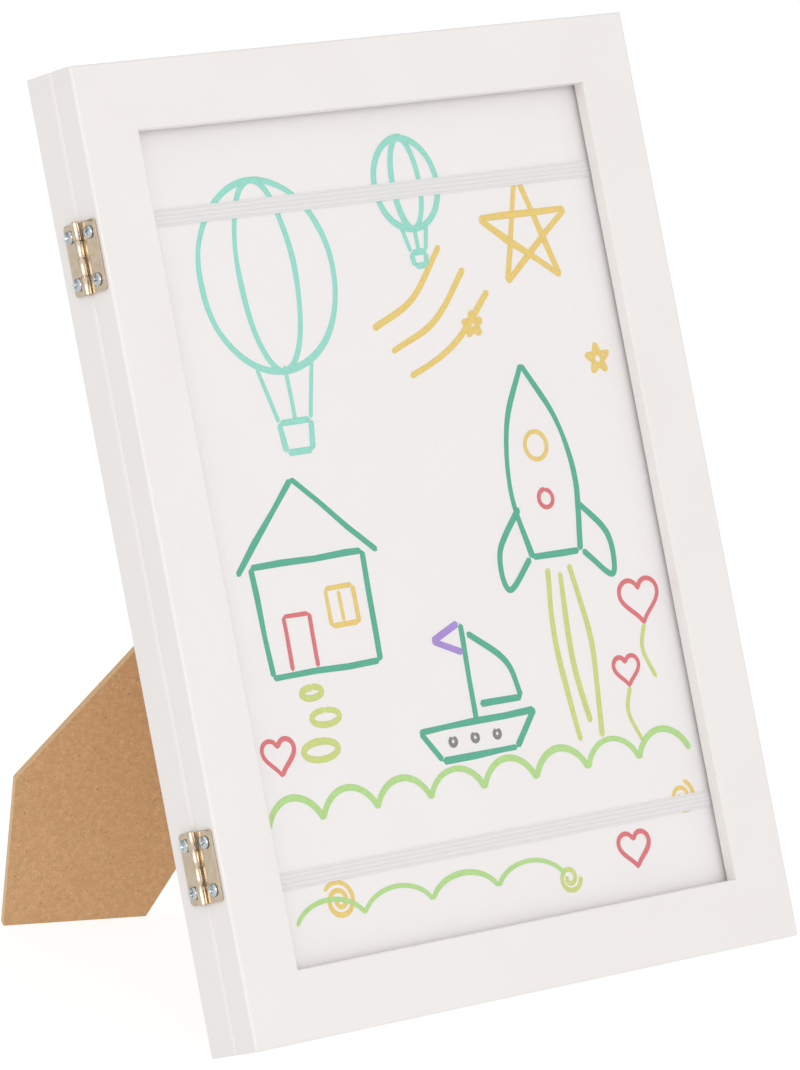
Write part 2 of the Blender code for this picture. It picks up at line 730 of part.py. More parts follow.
def side_hinge(prefix, height, frame, door, box_stile, door_stile):
    """A leaf on the box, a leaf on the door, the pin and four screws."""
    pin_at = HINGE_PIN + UP * height
    box_mesh = side_leaf("box_leaf", 1, BOX_LEAF_REACH, BACK)
    door_mesh = side_leaf("door_leaf", 0, DOOR_LEAF_REACH, -BACK)
    box_leaf = place(f"{prefix}_hinge_box_leaf", box_mesh, finish("nickel"), frame, pin_at)
    door_leaf = place(f"{prefix}_hinge_door_leaf", door_mesh, finish("nickel"), door, UP * height)
    place(f"{prefix}_hinge_pin", hinge_pin_mesh(), finish("nickel"), frame, pin_at)
    under_head = RIGHT * (BARREL_RADIUS - LEAF_METAL - SEAT_GAP)
    for level, rise in (("top", SCREW_SPACING / 2), ("bottom", -SCREW_SPACING / 2)):
        at = pin_at + under_head + UP * rise + BACK * BOX_SCREW_FROM_PIN
        screw(f"{prefix}_hinge_box_screw_{level}", frame, at, [box_leaf, box_stile])
        at = under_head + UP * (height + rise) - BACK * DOOR_SCREW_FROM_PIN
        screw(f"{prefix}_hinge_door_screw_{level}", door, at, [door_leaf, door_stile])


# The strut and its hinge

def strut_board(strut):
    outline = [(along, -down) for along, down in strut_outline()]
    mesh = prism("strut_board", outline, STRUT_FRONT, STRUT_BACK, (RIGHT, UP, BACK))
    return place("strut_board", mesh, finish("mdf"), strut)


def strut_leaf_mesh(name, outer_curled, reach, curl, away):
    """A leaf with either the two outer knuckles or the one between them."""
    end = STRUT_HINGE_WIDTH / 2
    inner = end - OUTER_KNUCKLE - (0.0 if outer_curled else KNUCKLE_GAP)
    lines = [-end, -inner, inner, end]
    curled = [outer_curled, not outer_curled, outer_curled]
    plate = plate_places(reach, STRUT_LEAF_NOTCH, STRUT_BARREL_RADIUS, STRUT_LEAF_METAL)
    return leaf_mesh(name, lines, curled, plate, curl, (away, BACK, RIGHT), STRUT_LEAF_CORNER)


def fixed_leaf(seat):
    bore = STRUT_BARREL_RADIUS - STRUT_LEAF_METAL
    curl = round_the_pin(STRUT_BARREL_RADIUS, CURL_TURNS) + round_the_pin(bore, CURL_TURNS[::-1])
    mesh = strut_leaf_mesh("fixed_leaf", True, FIXED_LEAF_REACH, curl, UP)
    return place("strut_hinge_fixed_leaf", mesh, finish("nickel"), seat)


def tongue_curl():
    """The moving leaf's curl, drawn out on its way round into the stop tongue.

    When the strut is open the tongue lies flat over the fixed leaf, whose ways up and back are given here as
    they are then seen from the strut.
    """
    up = Vector((-math.cos(OPEN), math.sin(OPEN)))
    back = Vector((math.sin(OPEN), math.cos(OPEN)))
    near = STRUT_LEAF_METAL - STRUT_BARREL_RADIUS + SEAT_GAP
    tongue = []
    for side in (near, near + STRUT_LEAF_METAL):
        root = up * math.sqrt(STRUT_BARREL_RADIUS**2 - side**2) + back * side
        tip = up * TONGUE_REACH + back * side
        tongue.append((math.atan2(root.y, root.x) - 4 * QUARTER, root, tip))
    (first, first_root, first_tip), (last, last_root, last_tip) = tongue
    before = [turn for turn in CURL_TURNS if turn > first]
    after = [turn for turn in CURL_TURNS if turn < last]
    bore = STRUT_BARREL_RADIUS - STRUT_LEAF_METAL
    return (
        round_the_pin(STRUT_BARREL_RADIUS, before)
        + [first_root, first_tip, last_tip, last_root]
        + round_the_pin(STRUT_BARREL_RADIUS, after)
        + round_the_pin(bore, CURL_TURNS[::-1])
    )


def moving_leaf(strut):
    mesh = strut_leaf_mesh("moving_leaf", False, MOVING_LEAF_REACH, tongue_curl(), -UP)
    return place("strut_hinge_moving_leaf", mesh, finish("nickel"), strut)


def rivet(name, grip, parent, at, pierced):
    """A domed head to the back, and a tail that swells into its countersink at the front."""
    shank = [
        (RIVET_SHANK_RADIUS, 0.0),
        (RIVET_SHANK_RADIUS, RIVET_TAIL_DEPTH - grip),
        (RIVET_TAIL_RADIUS, -grip),
        (0.0, -grip),
    ]
    profile = dome(RIVET_HEAD_RADIUS, 0.0, RIVET_HEAD_HEIGHT) + shank
    place(name, turned("rivet", profile), finish("zinc"), parent, at, HEAD_TO_BACK)
    narrow = RIVET_SHANK_RADIUS + HOLE_CLEARANCE
    wide = RIVET_TAIL_RADIUS + HOLE_CLEARANCE
    hole = [
        (0.0, OVERRUN),
        (narrow, OVERRUN),
        (narrow, RIVET_TAIL_DEPTH - grip),
        (wide, -grip),
        (wide, -grip - OVERRUN),
        (0.0, -grip - OVERRUN),
    ]
    cut(pierced, turned("hole", hole), parent, at, HEAD_TO_BACK)


def strut_hinge(seat, strut, panel, board):
    """The two leaves, the pin, and two rivets through each leaf."""
    fixed = fixed_leaf(seat)
    moving = moving_leaf(strut)
    radius = STRUT_BARREL_RADIUS - STRUT_LEAF_METAL - PIN_CLEARANCE
    half = STRUT_HINGE_WIDTH / 2
    place("strut_hinge_pin", rod("pin", radius, half, -half), finish("nickel"), seat, CENTRE, HEAD_TO_LEFT)
    leaf_back = STRUT_LEAF_METAL - STRUT_BARREL_RADIUS
    panel_front = PANEL_FRONT - STRUT_PIN.y
    for side, way in (("left", -RIGHT), ("right", RIGHT)):
        over = way * (RIVET_SPACING / 2)
        at = over + UP * RIVET_FROM_PIN + BACK * (leaf_back + SEAT_GAP)
        rivet(f"fixed_leaf_rivet_{side}", at.y - panel_front, seat, at, [fixed, panel])
        at = over - UP * RIVET_FROM_PIN + BACK * (STRUT_BACK + SEAT_GAP)
        rivet(f"moving_leaf_rivet_{side}", at.y + STRUT_BARREL_RADIUS, strut, at, [moving, board])


# The hangers

def hanger_outline():
    """A plate with rounded corners, its lower edge cut into teeth along the middle."""
    half = HANGER_LENGTH / 2
    rise = HANGER_HEIGHT / 2
    pitch = HANGER_TOOTHED_LENGTH / HANGER_TEETH
    teeth = []
    for tooth in range(HANGER_TEETH):
        start = tooth * pitch - HANGER_TOOTHED_LENGTH / 2
        teeth += [Vector((start, -rise)), Vector((start + pitch / 2, HANGER_TOOTH - rise))]
    teeth.append(Vector((HANGER_TOOTHED_LENGTH / 2, -rise)))
    corners = [(half, -rise), (half, rise), (-half, rise), (-half, -rise)]
    return teeth + rounded(corners, [HANGER_CORNER] * len(corners))


def nail(name, frame, at, pierced):
    shank = [
        (NAIL_SHANK_RADIUS, 0.0),
        (NAIL_SHANK_RADIUS, NAIL_POINT - NAIL_LENGTH),
        (0.0, -NAIL_LENGTH),
    ]
    profile = dome(NAIL_HEAD_RADIUS, 0.0, NAIL_HEAD_HEIGHT) + shank
    place(name, turned("nail", profile), finish("steel"), frame, at, HEAD_TO_BACK)
    hole = rod("hole", NAIL_SHANK_RADIUS + HOLE_CLEARANCE, OVERRUN, -NAIL_LENGTH - HOLE_CLEARANCE)
    cut(pierced, hole, frame, at, HEAD_TO_BACK)


def hanger(prefix, side, frame, length):
    """A sawtooth plate at the middle of one side, its teeth towards the frame's middle, and two nails."""
    outward, along, half = SIDES[side]
    middle = outward * (half - BACK_LAND / 2) + UP * MIDDLE
    ways = (along, outward, BACK)
    mesh = prism("hanger", hanger_outline(), SEAT_GAP, SEAT_GAP + HANGER_THICKNESS, ways)
    plate = place(f"{prefix}_hanger", mesh, finish("steel"), frame, middle)
    reach = HANGER_LENGTH / 2 - NAIL_FROM_END
    under_head = BACK * (HANGER_THICKNESS + 2 * SEAT_GAP)
    for end, way in (("first", -along), ("second", along)):
        nail(f"{prefix}_hanger_nail_{end}", frame, middle + way * reach + under_head, [plate, length])


# The whole

def build():
    for thing in list(bpy.data.objects):
        bpy.data.objects.remove(thing)
    frame = empty("frame_origin", None, standing_place(), (-LEAN, 0.0, 0.0))
    door = empty("door_axis", frame, HINGE_PIN)
    seat = empty("strut_seat", frame, STRUT_PIN, (0.0, DIAGONAL, 0.0))
    strut = empty("strut_axis", frame, STRUT_PIN, (OPEN, DIAGONAL, 0.0))
    box_lengths = four_lengths("box", box_section(), frame, CENTRE)
    door_lengths = four_lengths("door", door_section(), door, HINGE_PIN)
    panel = back_panel(frame)
    sheets(frame)
    band("upper_band", FRAME_HEIGHT - BAND_FROM_END, frame, box_lengths)
    band("lower_band", BAND_FROM_END, frame, box_lengths)
    panel_staples(frame, box_lengths, panel)
    pane(door)
    glazing_tabs(door, door_lengths)
    catches(frame, door, box_lengths["right"], door_lengths["right"])
    for prefix, height in (("upper", FRAME_HEIGHT - HINGE_FROM_END), ("lower", HINGE_FROM_END)):
        side_hinge(prefix, height, frame, door, box_lengths["left"], door_lengths["left"])
    board = strut_board(strut)
    strut_hinge(seat, strut, panel, board)
    hanger("portrait", "top", frame, box_lengths["top"])
    hanger("landscape", "right", frame, box_lengths["right"])


build()
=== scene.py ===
# %% [markdown]
# # A childrens art frame
# The real thing is a small picture frame that opens from the front like a cupboard. A drawing lies behind a
# clear door, two flat elastic bands hold it, and older drawings stay in the shallow box behind it.
#
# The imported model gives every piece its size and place, so this lesson keeps it as a fixed frame and makes
# what the eye meets: softly rounded paint, curled nickel, ribbed elastic, bare fibreboard and felt-tip
# lines. All of it is in metres and in the frame's own coordinates.

# %% Load the frame
import json
import math

import bmesh
import bpy
import numpy as np
from mathutils import Matrix, Vector, geometry


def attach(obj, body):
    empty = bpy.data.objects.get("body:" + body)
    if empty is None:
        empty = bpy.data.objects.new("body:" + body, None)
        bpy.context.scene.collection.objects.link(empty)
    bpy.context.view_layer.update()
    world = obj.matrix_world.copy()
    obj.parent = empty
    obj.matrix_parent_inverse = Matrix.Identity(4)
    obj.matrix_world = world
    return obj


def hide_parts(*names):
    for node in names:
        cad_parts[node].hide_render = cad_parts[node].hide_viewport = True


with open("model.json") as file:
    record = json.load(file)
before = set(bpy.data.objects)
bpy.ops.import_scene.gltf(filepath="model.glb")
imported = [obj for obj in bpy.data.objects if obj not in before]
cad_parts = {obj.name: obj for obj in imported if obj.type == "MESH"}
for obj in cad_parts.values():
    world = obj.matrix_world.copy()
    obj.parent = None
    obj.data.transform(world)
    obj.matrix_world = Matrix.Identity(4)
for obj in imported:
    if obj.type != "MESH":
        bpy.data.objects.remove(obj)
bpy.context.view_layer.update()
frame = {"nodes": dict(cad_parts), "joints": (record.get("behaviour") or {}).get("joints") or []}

MM = 0.001

# %% [markdown]
# ## A bench to measure on
# The frame leans back, so the world's own directions are awkward for it. A bench is a zero and three
# directions at right angles: right, back and up. On the frame's bench every rail is level again, and a size
# is one subtraction. The strut has a bench of its own, which lies along its hinge.

# %% Benches
X, Y, Z = np.eye(3)


def points_of(mesh):
    """The vertices of a mesh as rows of three numbers."""
    flat = np.empty(3 * len(mesh.vertices), np.float32)
    mesh.vertices.foreach_get("co", flat)
    return flat.reshape(-1, 3).astype(float)


class Bench:
    """A zero and three directions. A place on it is how far it lies along each of them."""

    def __init__(self, zero, right, back):
        self.zero = np.array(zero, float)
        self.ways = np.array([right, back, np.cross(right, back)])

    def measured(self, points):
        """Places on the bench: each point's distance from zero, times each direction."""
        return (points - self.zero) @ self.ways.T

    def world(self, places):
        """World points: zero plus each direction times its distance."""
        return self.zero + places @ self.ways

    def places(self, *nodes):
        return self.measured(np.vstack([points_of(frame["nodes"][node].data) for node in nodes]))

    def reach(self, *nodes):
        """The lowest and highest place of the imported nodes."""
        places = self.places(*nodes)
        return places.min(0), places.max(0)

    def span(self, node):
        """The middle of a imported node, and half of its size each way."""
        low, high = self.reach(node)
        return (low + high) / 2, (high - low) / 2


joints = {joint["name"]: joint for joint in frame["joints"]}
UPRIGHT = -np.array(joints["door_swing"]["axis"])
level = Bench((0, 0, 0), X, np.cross(UPRIGHT, X))
low, high = level.reach("box_left_stile", "box_right_stile")
bench = Bench(level.world(np.array([(low[0] + high[0]) / 2, high[1], low[2]])), X, level.ways[1])

strut_mesh = frame["nodes"]["strut_board"].data
strut_face = np.array(max(strut_mesh.polygons, key=lambda face: face.area).normal)
strut_face *= np.sign(strut_face @ bench.ways[1])
strut_right = -np.array(joints["strut_swing"]["axis"])
strut_bench = Bench(joints["strut_swing"]["pos_m"], strut_right, strut_face)
seat_bench = Bench(strut_bench.zero, strut_right, bench.ways[1])
STRUT_OPEN = math.acos(strut_face @ bench.ways[1])
print("strut open by", round(math.degrees(STRUT_OPEN), 2), "degrees")

# %% [markdown]
# ## Sizes
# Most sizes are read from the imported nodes, and the few that no node shows are named here once. Packed
# pieces keep clear of each other, as a model that moves must. Here the lip, the pane, the bands and the
# sheet all but touch, as they do in the photograph.

# %% Sizes of the box and the door
SEAT = 0.2 * MM
TOUCH = 0.05 * MM
PANE_ROOM = 0.4 * MM
PANEL_ROOM = 0.3 * MM
SEAM_GAP = 0.06 * MM

box_low, box_high = bench.reach("box_left_stile")
door_low, door_high = bench.reach("door_left_stile")
pane_low, pane_high = bench.reach("pane")
panel_low, panel_high = bench.reach("back_panel")
HALF_WIDTH = -box_low[0]
HEIGHT = box_high[2]
BOX_WALL = box_high[0] - box_low[0]
SEAM = (box_low[1] + door_high[1]) / 2
BOX_FRONT = SEAM + SEAM_GAP / 2
DOOR_BACK = SEAM - SEAM_GAP / 2
DOOR_FRONT = door_low[1]
FACE_WIDTH = door_high[0] - door_low[0]
LIP_BACK = pane_low[1] - TOUCH
DOOR_LAND = HALF_WIDTH - pane_high[0] - PANE_ROOM
BACK_LAND = HALF_WIDTH - panel_high[0] - PANEL_ROOM
LEDGE = panel_low[1] - SEAT
MIDDLE = Z * HEIGHT / 2
print("width", round(2 * HALF_WIDTH / MM, 1), "height", round(HEIGHT / MM, 1), "mm")

# %% [markdown]
# ## Camera
# The photograph looks from the left and a little from above, through a long lens, so that level lines
# hardly draw together. A place, three angles and the lens say that.

# %% Camera
CAMERA_PLACE = (-1.522476, -1.818447, 0.657835)
CAMERA_AZIMUTH = math.radians(40.356433)
CAMERA_DOWN = math.radians(12.047098)
CAMERA_ROLL = math.radians(1.049847)
CAMERA_LENS = 232.60593
SENSOR_LONG_SIDE = 36.0

lens = bpy.data.cameras.new("camera")
lens.lens = CAMERA_LENS
lens.sensor_width = SENSOR_LONG_SIDE
camera = bpy.data.objects.new("camera", lens)
bpy.context.scene.collection.objects.link(camera)
facing = Matrix.Rotation(-CAMERA_AZIMUTH, 4, "Z") @ Matrix.Rotation(math.pi / 2 - CAMERA_DOWN, 4, "X")
camera.matrix_world = Matrix.Translation(CAMERA_PLACE) @ facing @ Matrix.Rotation(CAMERA_ROLL, 4, "Z")
bpy.context.scene.camera = camera
print("camera", CAMERA_PLACE)

# %% [markdown]
# ## Shader recipes
# A finish is a sum: a base colour, plus a little of this noise, less a little in the grooves. A small class
# wraps a node's output and lets Python's own + - * add the Math nodes, so that a finish reads as that sum.
# Colours are never added that way. They go through a Mix node, which keeps their hue.

# %% A signal and the recipe that holds it
class Signal:
    """What a node gives out. Sums, products and powers of it add Math nodes."""

    def __init__(self, recipe, socket):
        self.recipe = recipe
        self.socket = socket

    def maths(self, operation, first, second=0):
        return self.recipe.add("ShaderNodeMath", {"operation": operation}, {0: first, 1: second})

    def __add__(self, other):
        return self.maths("ADD", self, other)

    def __sub__(self, other):
        return self.maths("SUBTRACT", self, other)

    def __rsub__(self, other):
        return self.maths("SUBTRACT", other, self)

    def __mul__(self, other):
        return self.maths("MULTIPLY", self, other)

    def __pow__(self, power):
        return self.maths("POWER", self, power)

    def wave(self):
        """The sine of the signal."""
        return self.maths("SINE", self)

    def eased(self, start, end):
        """0 up to start, 1 from end on, and a soft slope between them."""
        sockets = {"Value": self, "From Min": start, "From Max": end}
        return self.recipe.add("ShaderNodeMapRange", {"interpolation_type": "SMOOTHSTEP"}, sockets)

    __radd__ = __add__
    __rmul__ = __mul__


class Recipe:
    """The nodes of one material or of the world."""

    def __init__(self, owner):
        owner.use_nodes = True
        self.tree = owner.node_tree

    def add(self, kind, settings, sockets, out=0):
        """A node of a kind: its settings, then a value or a link for each socket, then one output."""
        node = self.tree.nodes.new(kind)
        for name, value in settings.items():
            setattr(node, name, value)
        for name, value in sockets.items():
            self.give(node.inputs[name], value)
        return Signal(self, node.outputs[out])

    def give(self, socket, value):
        if isinstance(value, Signal):
            self.tree.links.new(value.socket, socket)
        else:
            socket.default_value = value

    def noise(self, size, detail=2.0, stretch=(1.0, 1.0, 1.0)):
        """Soft random blobs about one size across on the object, from 0 to 1 and mostly near a half."""
        where = self.add("ShaderNodeTexCoord", {}, {}, "Object")
        drawn_out = self.add("ShaderNodeMapping", {}, {"Vector": where, "Scale": stretch})
        sockets = {"Vector": drawn_out, "Scale": 1 / size, "Detail": detail}
        return self.add("ShaderNodeTexNoise", {}, sockets, "Fac")

    def attribute(self, name):
        return self.add("ShaderNodeAttribute", {"attribute_name": name}, {}, "Fac")

    def ray(self, name):
        """1 for a ray of that kind, and 0 for any other."""
        return self.add("ShaderNodeLightPath", {}, {}, name)

    def mix(self, share, first, second):
        """The first colour where the share is 0, and the second where it is 1."""
        return self.add("ShaderNodeMix", {"data_type": "RGBA"}, {"Factor": share, 6: first, 7: second}, 2)


def shade(red, green, blue):
    """A display colour, 0 to 255, as the linear one that a shader takes."""
    display = np.array([red, green, blue]) / 255
    linear = np.where(display <= 0.04045, display / 12.92, ((display + 0.055) / 1.055) ** 2.4)
    return (*linear.tolist(), 1.0)


def finish(name, make):
    """A material whose Principled sockets are what make gives back for its recipe."""
    material = bpy.data.materials.new(name)
    recipe = Recipe(material)
    shader = recipe.tree.nodes["Principled BSDF"]
    for socket, value in make(recipe).items():
        recipe.give(shader.inputs[socket], value)
    return material


def relief(recipe, height, depth):
    """A Bump node's normal for a height of 0 to 1 that stands for so many metres."""
    return recipe.add("ShaderNodeBump", {}, {"Height": height, "Distance": depth})

# %% [markdown]
# ## White paint
# The frame is sprayed with satin paint. It dries with a fine orange peel, a millimetre or two across and a
# hundredth of a millimetre deep, and its tone drifts slightly along a length. Noise at those sizes does
# both, and the drift stays near one percent.

# %% White paint
def white_paint(recipe):
    drift = recipe.noise(45 * MM)
    peel = recipe.noise(1.5 * MM, 3.0)
    dust = recipe.noise(0.3 * MM)
    return {
        "Base Color": recipe.mix(drift.eased(0.3, 0.7), shade(248, 244, 241), shade(247, 242, 239)),
        "Roughness": 0.3 + 0.12 * peel,
        "Normal": relief(recipe, peel + 0.2 * dust, 0.012 * MM),
    }


PAINT = finish("satin_white_paint", white_paint)
print("made", PAINT.name)

# %% [markdown]
# ## Bare fibreboard
# The strut and the back panel are thin fibreboard. Its pressed face is a warm brown, blotched at the size
# of a fingertip, mottled at that of a tuft of fibres, and flecked with dark and pale fibres. A sawn edge
# shows the looser core, which is paler and rougher. The meshes carry a value named rim that says where it
# is. On an edge that lies across, rim is halved, which is painted shade on the edges that face up or down.

# %% Fibreboard
def fibreboard(recipe):
    blotch = recipe.noise(16 * MM, 4.0).eased(0.3, 0.7)
    tuft = recipe.noise(2.2 * MM, 3.0).eased(0.3, 0.7)
    fibre = recipe.noise(0.45 * MM, 3.0, (1.0, 0.8, 0.6))
    dark = recipe.noise(0.9 * MM, 3.0, (1.0, 1.0, 0.7)).eased(0.62, 0.74)
    pale = recipe.noise(0.5 * MM, 1.0, (0.5, 1.0, 1.0)).eased(0.64, 0.76)
    rim = recipe.attribute("rim")
    face = recipe.mix(blotch, shade(224, 181, 133), shade(230, 187, 139))
    grained = recipe.mix(fibre.eased(0.35, 0.65), face, shade(209, 164, 117))
    mottled = recipe.mix(tuft * 0.8, grained, shade(204, 160, 113))
    flecked = recipe.mix(dark * 0.7, mottled, shade(150, 108, 70))
    bright = recipe.mix(pale * 0.35, flecked, shade(232, 196, 153))
    return {
        # rim mixes in the paler core of a sawn edge. It is halved on edges that lie across, so it also
        # carries painted shade there.
        "Base Color": recipe.mix(rim * 0.75, bright, shade(232, 202, 162)),
        "Roughness": 0.78 + 0.2 * fibre,
        "Normal": relief(recipe, fibre + 0.5 * dark + rim * fibre, 0.05 * MM),
    }


FIBREBOARD = finish("bare_fibreboard", fibreboard)
print("made", FIBREBOARD.name)

# %% [markdown]
# ## Paper and felt-tip ink
# Drawing paper is matt, with a tooth of a few tenths of a millimetre. Felt-tip ink soaks in and stays matt
# too. It pools along both edges of a line, so each line carries a value named across, from -1 to 1 over its
# width.

# %% Paper and ink
def paper(recipe):
    cloud = recipe.noise(30 * MM)
    tooth = recipe.noise(0.25 * MM, 3.0)
    return {
        "Base Color": recipe.mix(cloud.eased(0.3, 0.7), shade(250, 246, 245), shade(249, 245, 244)),
        "Roughness": 0.85 + 0.1 * tooth,
        "Normal": relief(recipe, tooth, 0.01 * MM),
    }


def ink(*colour):
    def felt_tip(recipe):
        pool = recipe.attribute("across") ** 4.0
        streak = recipe.noise(1.4 * MM).eased(0.3, 0.7)
        streaky, pooled = (shade(*(share * np.array(colour))) for share in (0.97, 0.9))
        body = recipe.mix(streak, shade(*colour), streaky)
        return {"Base Color": recipe.mix(0.5 * pool, body, pooled), "Roughness": 0.8 + 0.1 * streak}

    return felt_tip


PAPER = finish("matt_drawing_paper", paper)
INKS = {
    "mint": (160, 231, 214),
    "gold": (246, 214, 122),
    "green": (92, 186, 156),
    "lime": (214, 227, 136),
    "leaf": (190, 230, 148),
    "coral": (233, 122, 127),
    "purple": (180, 150, 224),
    "grey": (142, 142, 142),
}
FELT_TIPS = {name: finish(name + "_ink", ink(*colour)) for name, colour in INKS.items()}
print("made", PAPER.name, "and", len(FELT_TIPS), "inks")

# %% [markdown]
# ## White elastic
# Flat elastic is knitted over rubber cores, so it has ribs along it and tiny stitches across it. The ribs
# are in the mesh, with a thin greyer line along each. The stitches are too small for a mesh, so they are a
# ripple along the band's own length. A little of the drawing shows through the knit.

# %% Elastic
BAND_RIBS = 4
STITCH_RIPPLE = 0.5 * MM


def elastic(recipe):
    stitch = (recipe.attribute("along") * (2 * math.pi / STITCH_RIPPLE)).wave()
    across = recipe.attribute("across") * (math.pi * BAND_RIBS) + math.pi * (BAND_RIBS + 1) / 2
    groove = across.wave() ** 2.0
    thread = recipe.noise(0.3 * MM)
    return {
        "Base Color": recipe.mix(groove.eased(0.0, 0.35), shade(239, 237, 236), shade(252, 250, 249)),
        "Roughness": 0.7 + 0.2 * thread,
        "Normal": relief(recipe, 0.5 * stitch + thread, 0.008 * MM),
        "Alpha": 0.88 - 0.02 * groove,
    }


ELASTIC = finish("ribbed_white_elastic", elastic)
print("made", ELASTIC.name)

# %% [markdown]
# ## Metals
# Metal takes its colour from what it mirrors, so the base colour says only how warm or cold that mirror is.
# The hinges are warm nickel plate, the screws and rivets cold bright zinc, the rest plain steel. Plate is
# never quite even: fine noise in the roughness and a shallow grain keep it from being chrome.

# %% Metals
def plate(tint, dull, smooth, rough, grain):
    def metal(recipe):
        cloud = recipe.noise(2.5 * MM, 3.0)
        speck = recipe.noise(grain)
        return {
            "Base Color": recipe.mix(cloud.eased(0.3, 0.7), shade(*tint), shade(*dull)),
            "Metallic": 1.0,
            "Roughness": smooth + (rough - smooth) * speck,
            "Normal": relief(recipe, speck, 0.004 * MM),
        }

    return metal


NICKEL = finish("warm_nickel_plate", plate((216, 200, 178), (206, 189, 165), 0.1, 0.26, 0.2 * MM))
ZINC = finish("bright_zinc_plate", plate((212, 218, 219), (192, 202, 205), 0.08, 0.26, 0.3 * MM))
STEEL = finish("plain_steel", plate((186, 186, 188), (172, 172, 175), 0.25, 0.55, 0.2 * MM))
FERRITE = finish("grey_ferrite", plate((118, 116, 114), (104, 102, 101), 0.45, 0.75, 0.25 * MM))
print("made", NICKEL.name, ZINC.name, STEEL.name, FERRITE.name)

# %% [markdown]
# ## Clear pane
# The pane is a thin clear acrylic sheet. It hides almost nothing straight on and mirrors more the flatter
# it is looked at. A Fresnel node would also find total reflection inside the pane, which no ray here meets,
# because alpha lets them straight through. So the mirror is Schlick's own power of the facing value.

# %% Acrylic
def acrylic(recipe):
    grazing = recipe.add("ShaderNodeLayerWeight", {}, {"Blend": 0.5}, "Facing") ** 5.0
    smear = recipe.noise(35 * MM, 3.0)
    return {
        "Base Color": shade(248, 250, 250),
        "Roughness": 0.02 + 0.04 * smear,
        "Alpha": 0.012 + 0.8 * grazing,
    }


ACRYLIC = finish("clear_acrylic", acrylic)
print("made", ACRYLIC.name)

# %% [markdown]
# ## Surfaces from numbers
# Nearly every piece is one of four surfaces: a skin lofted through rings, a profile turned about an axis, a
# section carried along a path, or a flat plate with rounded edges. Each is worked out as whole arrays and
# gives back a shell, its points and its faces. Only the last step makes a Blender mesh of it.

# %% Outlines
ARC_STEPS = 6
HELD_FLAT = 0.1


def unit(vectors):
    return vectors / np.linalg.norm(vectors, axis=-1, keepdims=True)


def rounded(corners, radii):
    """A closed outline with an arc at each corner.

    Where two edges open by twice an angle h, an arc of radius r has its centre r / sin h from the corner and
    meets the edges r / tan h from it. A point just outside each end of the arc keeps the flats flat.
    """
    corners = np.array(corners, float)
    behind = unit(np.roll(corners, 1, 0) - corners)
    ahead = unit(np.roll(corners, -1, 0) - corners)
    parts = []
    for corner, back, on, radius in zip(corners, behind, ahead, np.broadcast_to(radii, len(corners))):
        if radius == 0:
            parts.append(corner[None])
            continue
        half = math.acos(np.clip(back @ on, -1, 1)) / 2
        centre = corner + unit(back + on) * radius / math.sin(half)
        first = corner + back * radius / math.tan(half)
        last = corner + on * radius / math.tan(half)
        start = math.atan2(*(first - centre)[::-1])
        turn = (math.atan2(*(last - centre)[::-1]) - start + math.pi) % (2 * math.pi) - math.pi
        angles = start + turn * np.linspace(0, 1, ARC_STEPS + 1)
        arc = centre + radius * np.stack([np.cos(angles), np.sin(angles)], -1)
        held = radius * HELD_FLAT
        parts.append(np.vstack([first + back * held, arc, last + on * held]))
    return np.vstack(parts)


def drawn_in(outline, distance):
    """The outline moved inwards: a corner goes 2 * distance / |s|² times the sum s of its edges' normals."""
    following = np.roll(outline, -1, 0)
    ahead = unit(following - outline)
    normals = np.stack([-ahead[:, 1], ahead[:, 0]], -1)
    area = np.sum(outline[:, 0] * following[:, 1] - outline[:, 1] * following[:, 0])
    both = normals + np.roll(normals, 1, 0)
    return outline + np.sign(area) * distance * 2 * both / np.sum(both**2, -1, keepdims=True)


def rectangle(low, high):
    return np.array([(low[0], low[1]), (high[0], low[1]), (high[0], high[1]), (low[0], high[1])])


print("outline helpers ready")

# %% Shells
TURN_STEPS = 48
ARRIS_STEPS = 3


def loft(rings):
    """A closed skin: face (i, j) joins points j and j + 1 of rings i and i + 1. Both end rings are filled."""
    count, around = rings.shape[:2]
    number = np.arange(count * around).reshape(count, around)
    near, far = number[:-1], number[1:]
    sides = np.stack([near, np.roll(near, -1, 1), np.roll(far, -1, 1), far], -1)
    return rings.reshape(-1, 3), sides.reshape(-1, 4).tolist() + [number[0].tolist(), number[-1].tolist()]


def joined(shells):
    """Several shells as one, each one's vertex numbers raised by the count of the points before it."""
    points, faces, count = [], [], 0
    for shell_points, shell_faces in shells:
        points.append(shell_points)
        faces += [[number + count for number in face] for face in shell_faces]
        count += len(shell_points)
    return np.vstack(points), faces


def turned(profile, centre, axis):
    """A profile of radius r and height h turned about an axis.

    A point is centre + axis * h + r * (side * cos a + other * sin a).
    """
    profile = np.array(profile)
    side = unit(np.cross(axis, Z if abs(axis[2]) < 0.9 else X))
    other = np.cross(axis, side)
    angles = 2 * math.pi * np.arange(TURN_STEPS) / TURN_STEPS
    round_trip = np.cos(angles)[:, None] * side + np.sin(angles)[:, None] * other
    return loft(centre + axis * profile[:, None, 1:] + round_trip * profile[:, None, :1])


def carried(section, path, up):
    """A section of (side, rise) places carried along a path: path + side way * side + rise way * rise.

    The side way is square to the path and to up, and the rise way is square to both of those.
    """
    along = unit(np.gradient(path, axis=0))
    side = unit(np.cross(along, up))
    rise = np.cross(side, along)
    return loft(path[:, None] + side[:, None] * section[..., :1] + rise[:, None] * section[..., 1:])


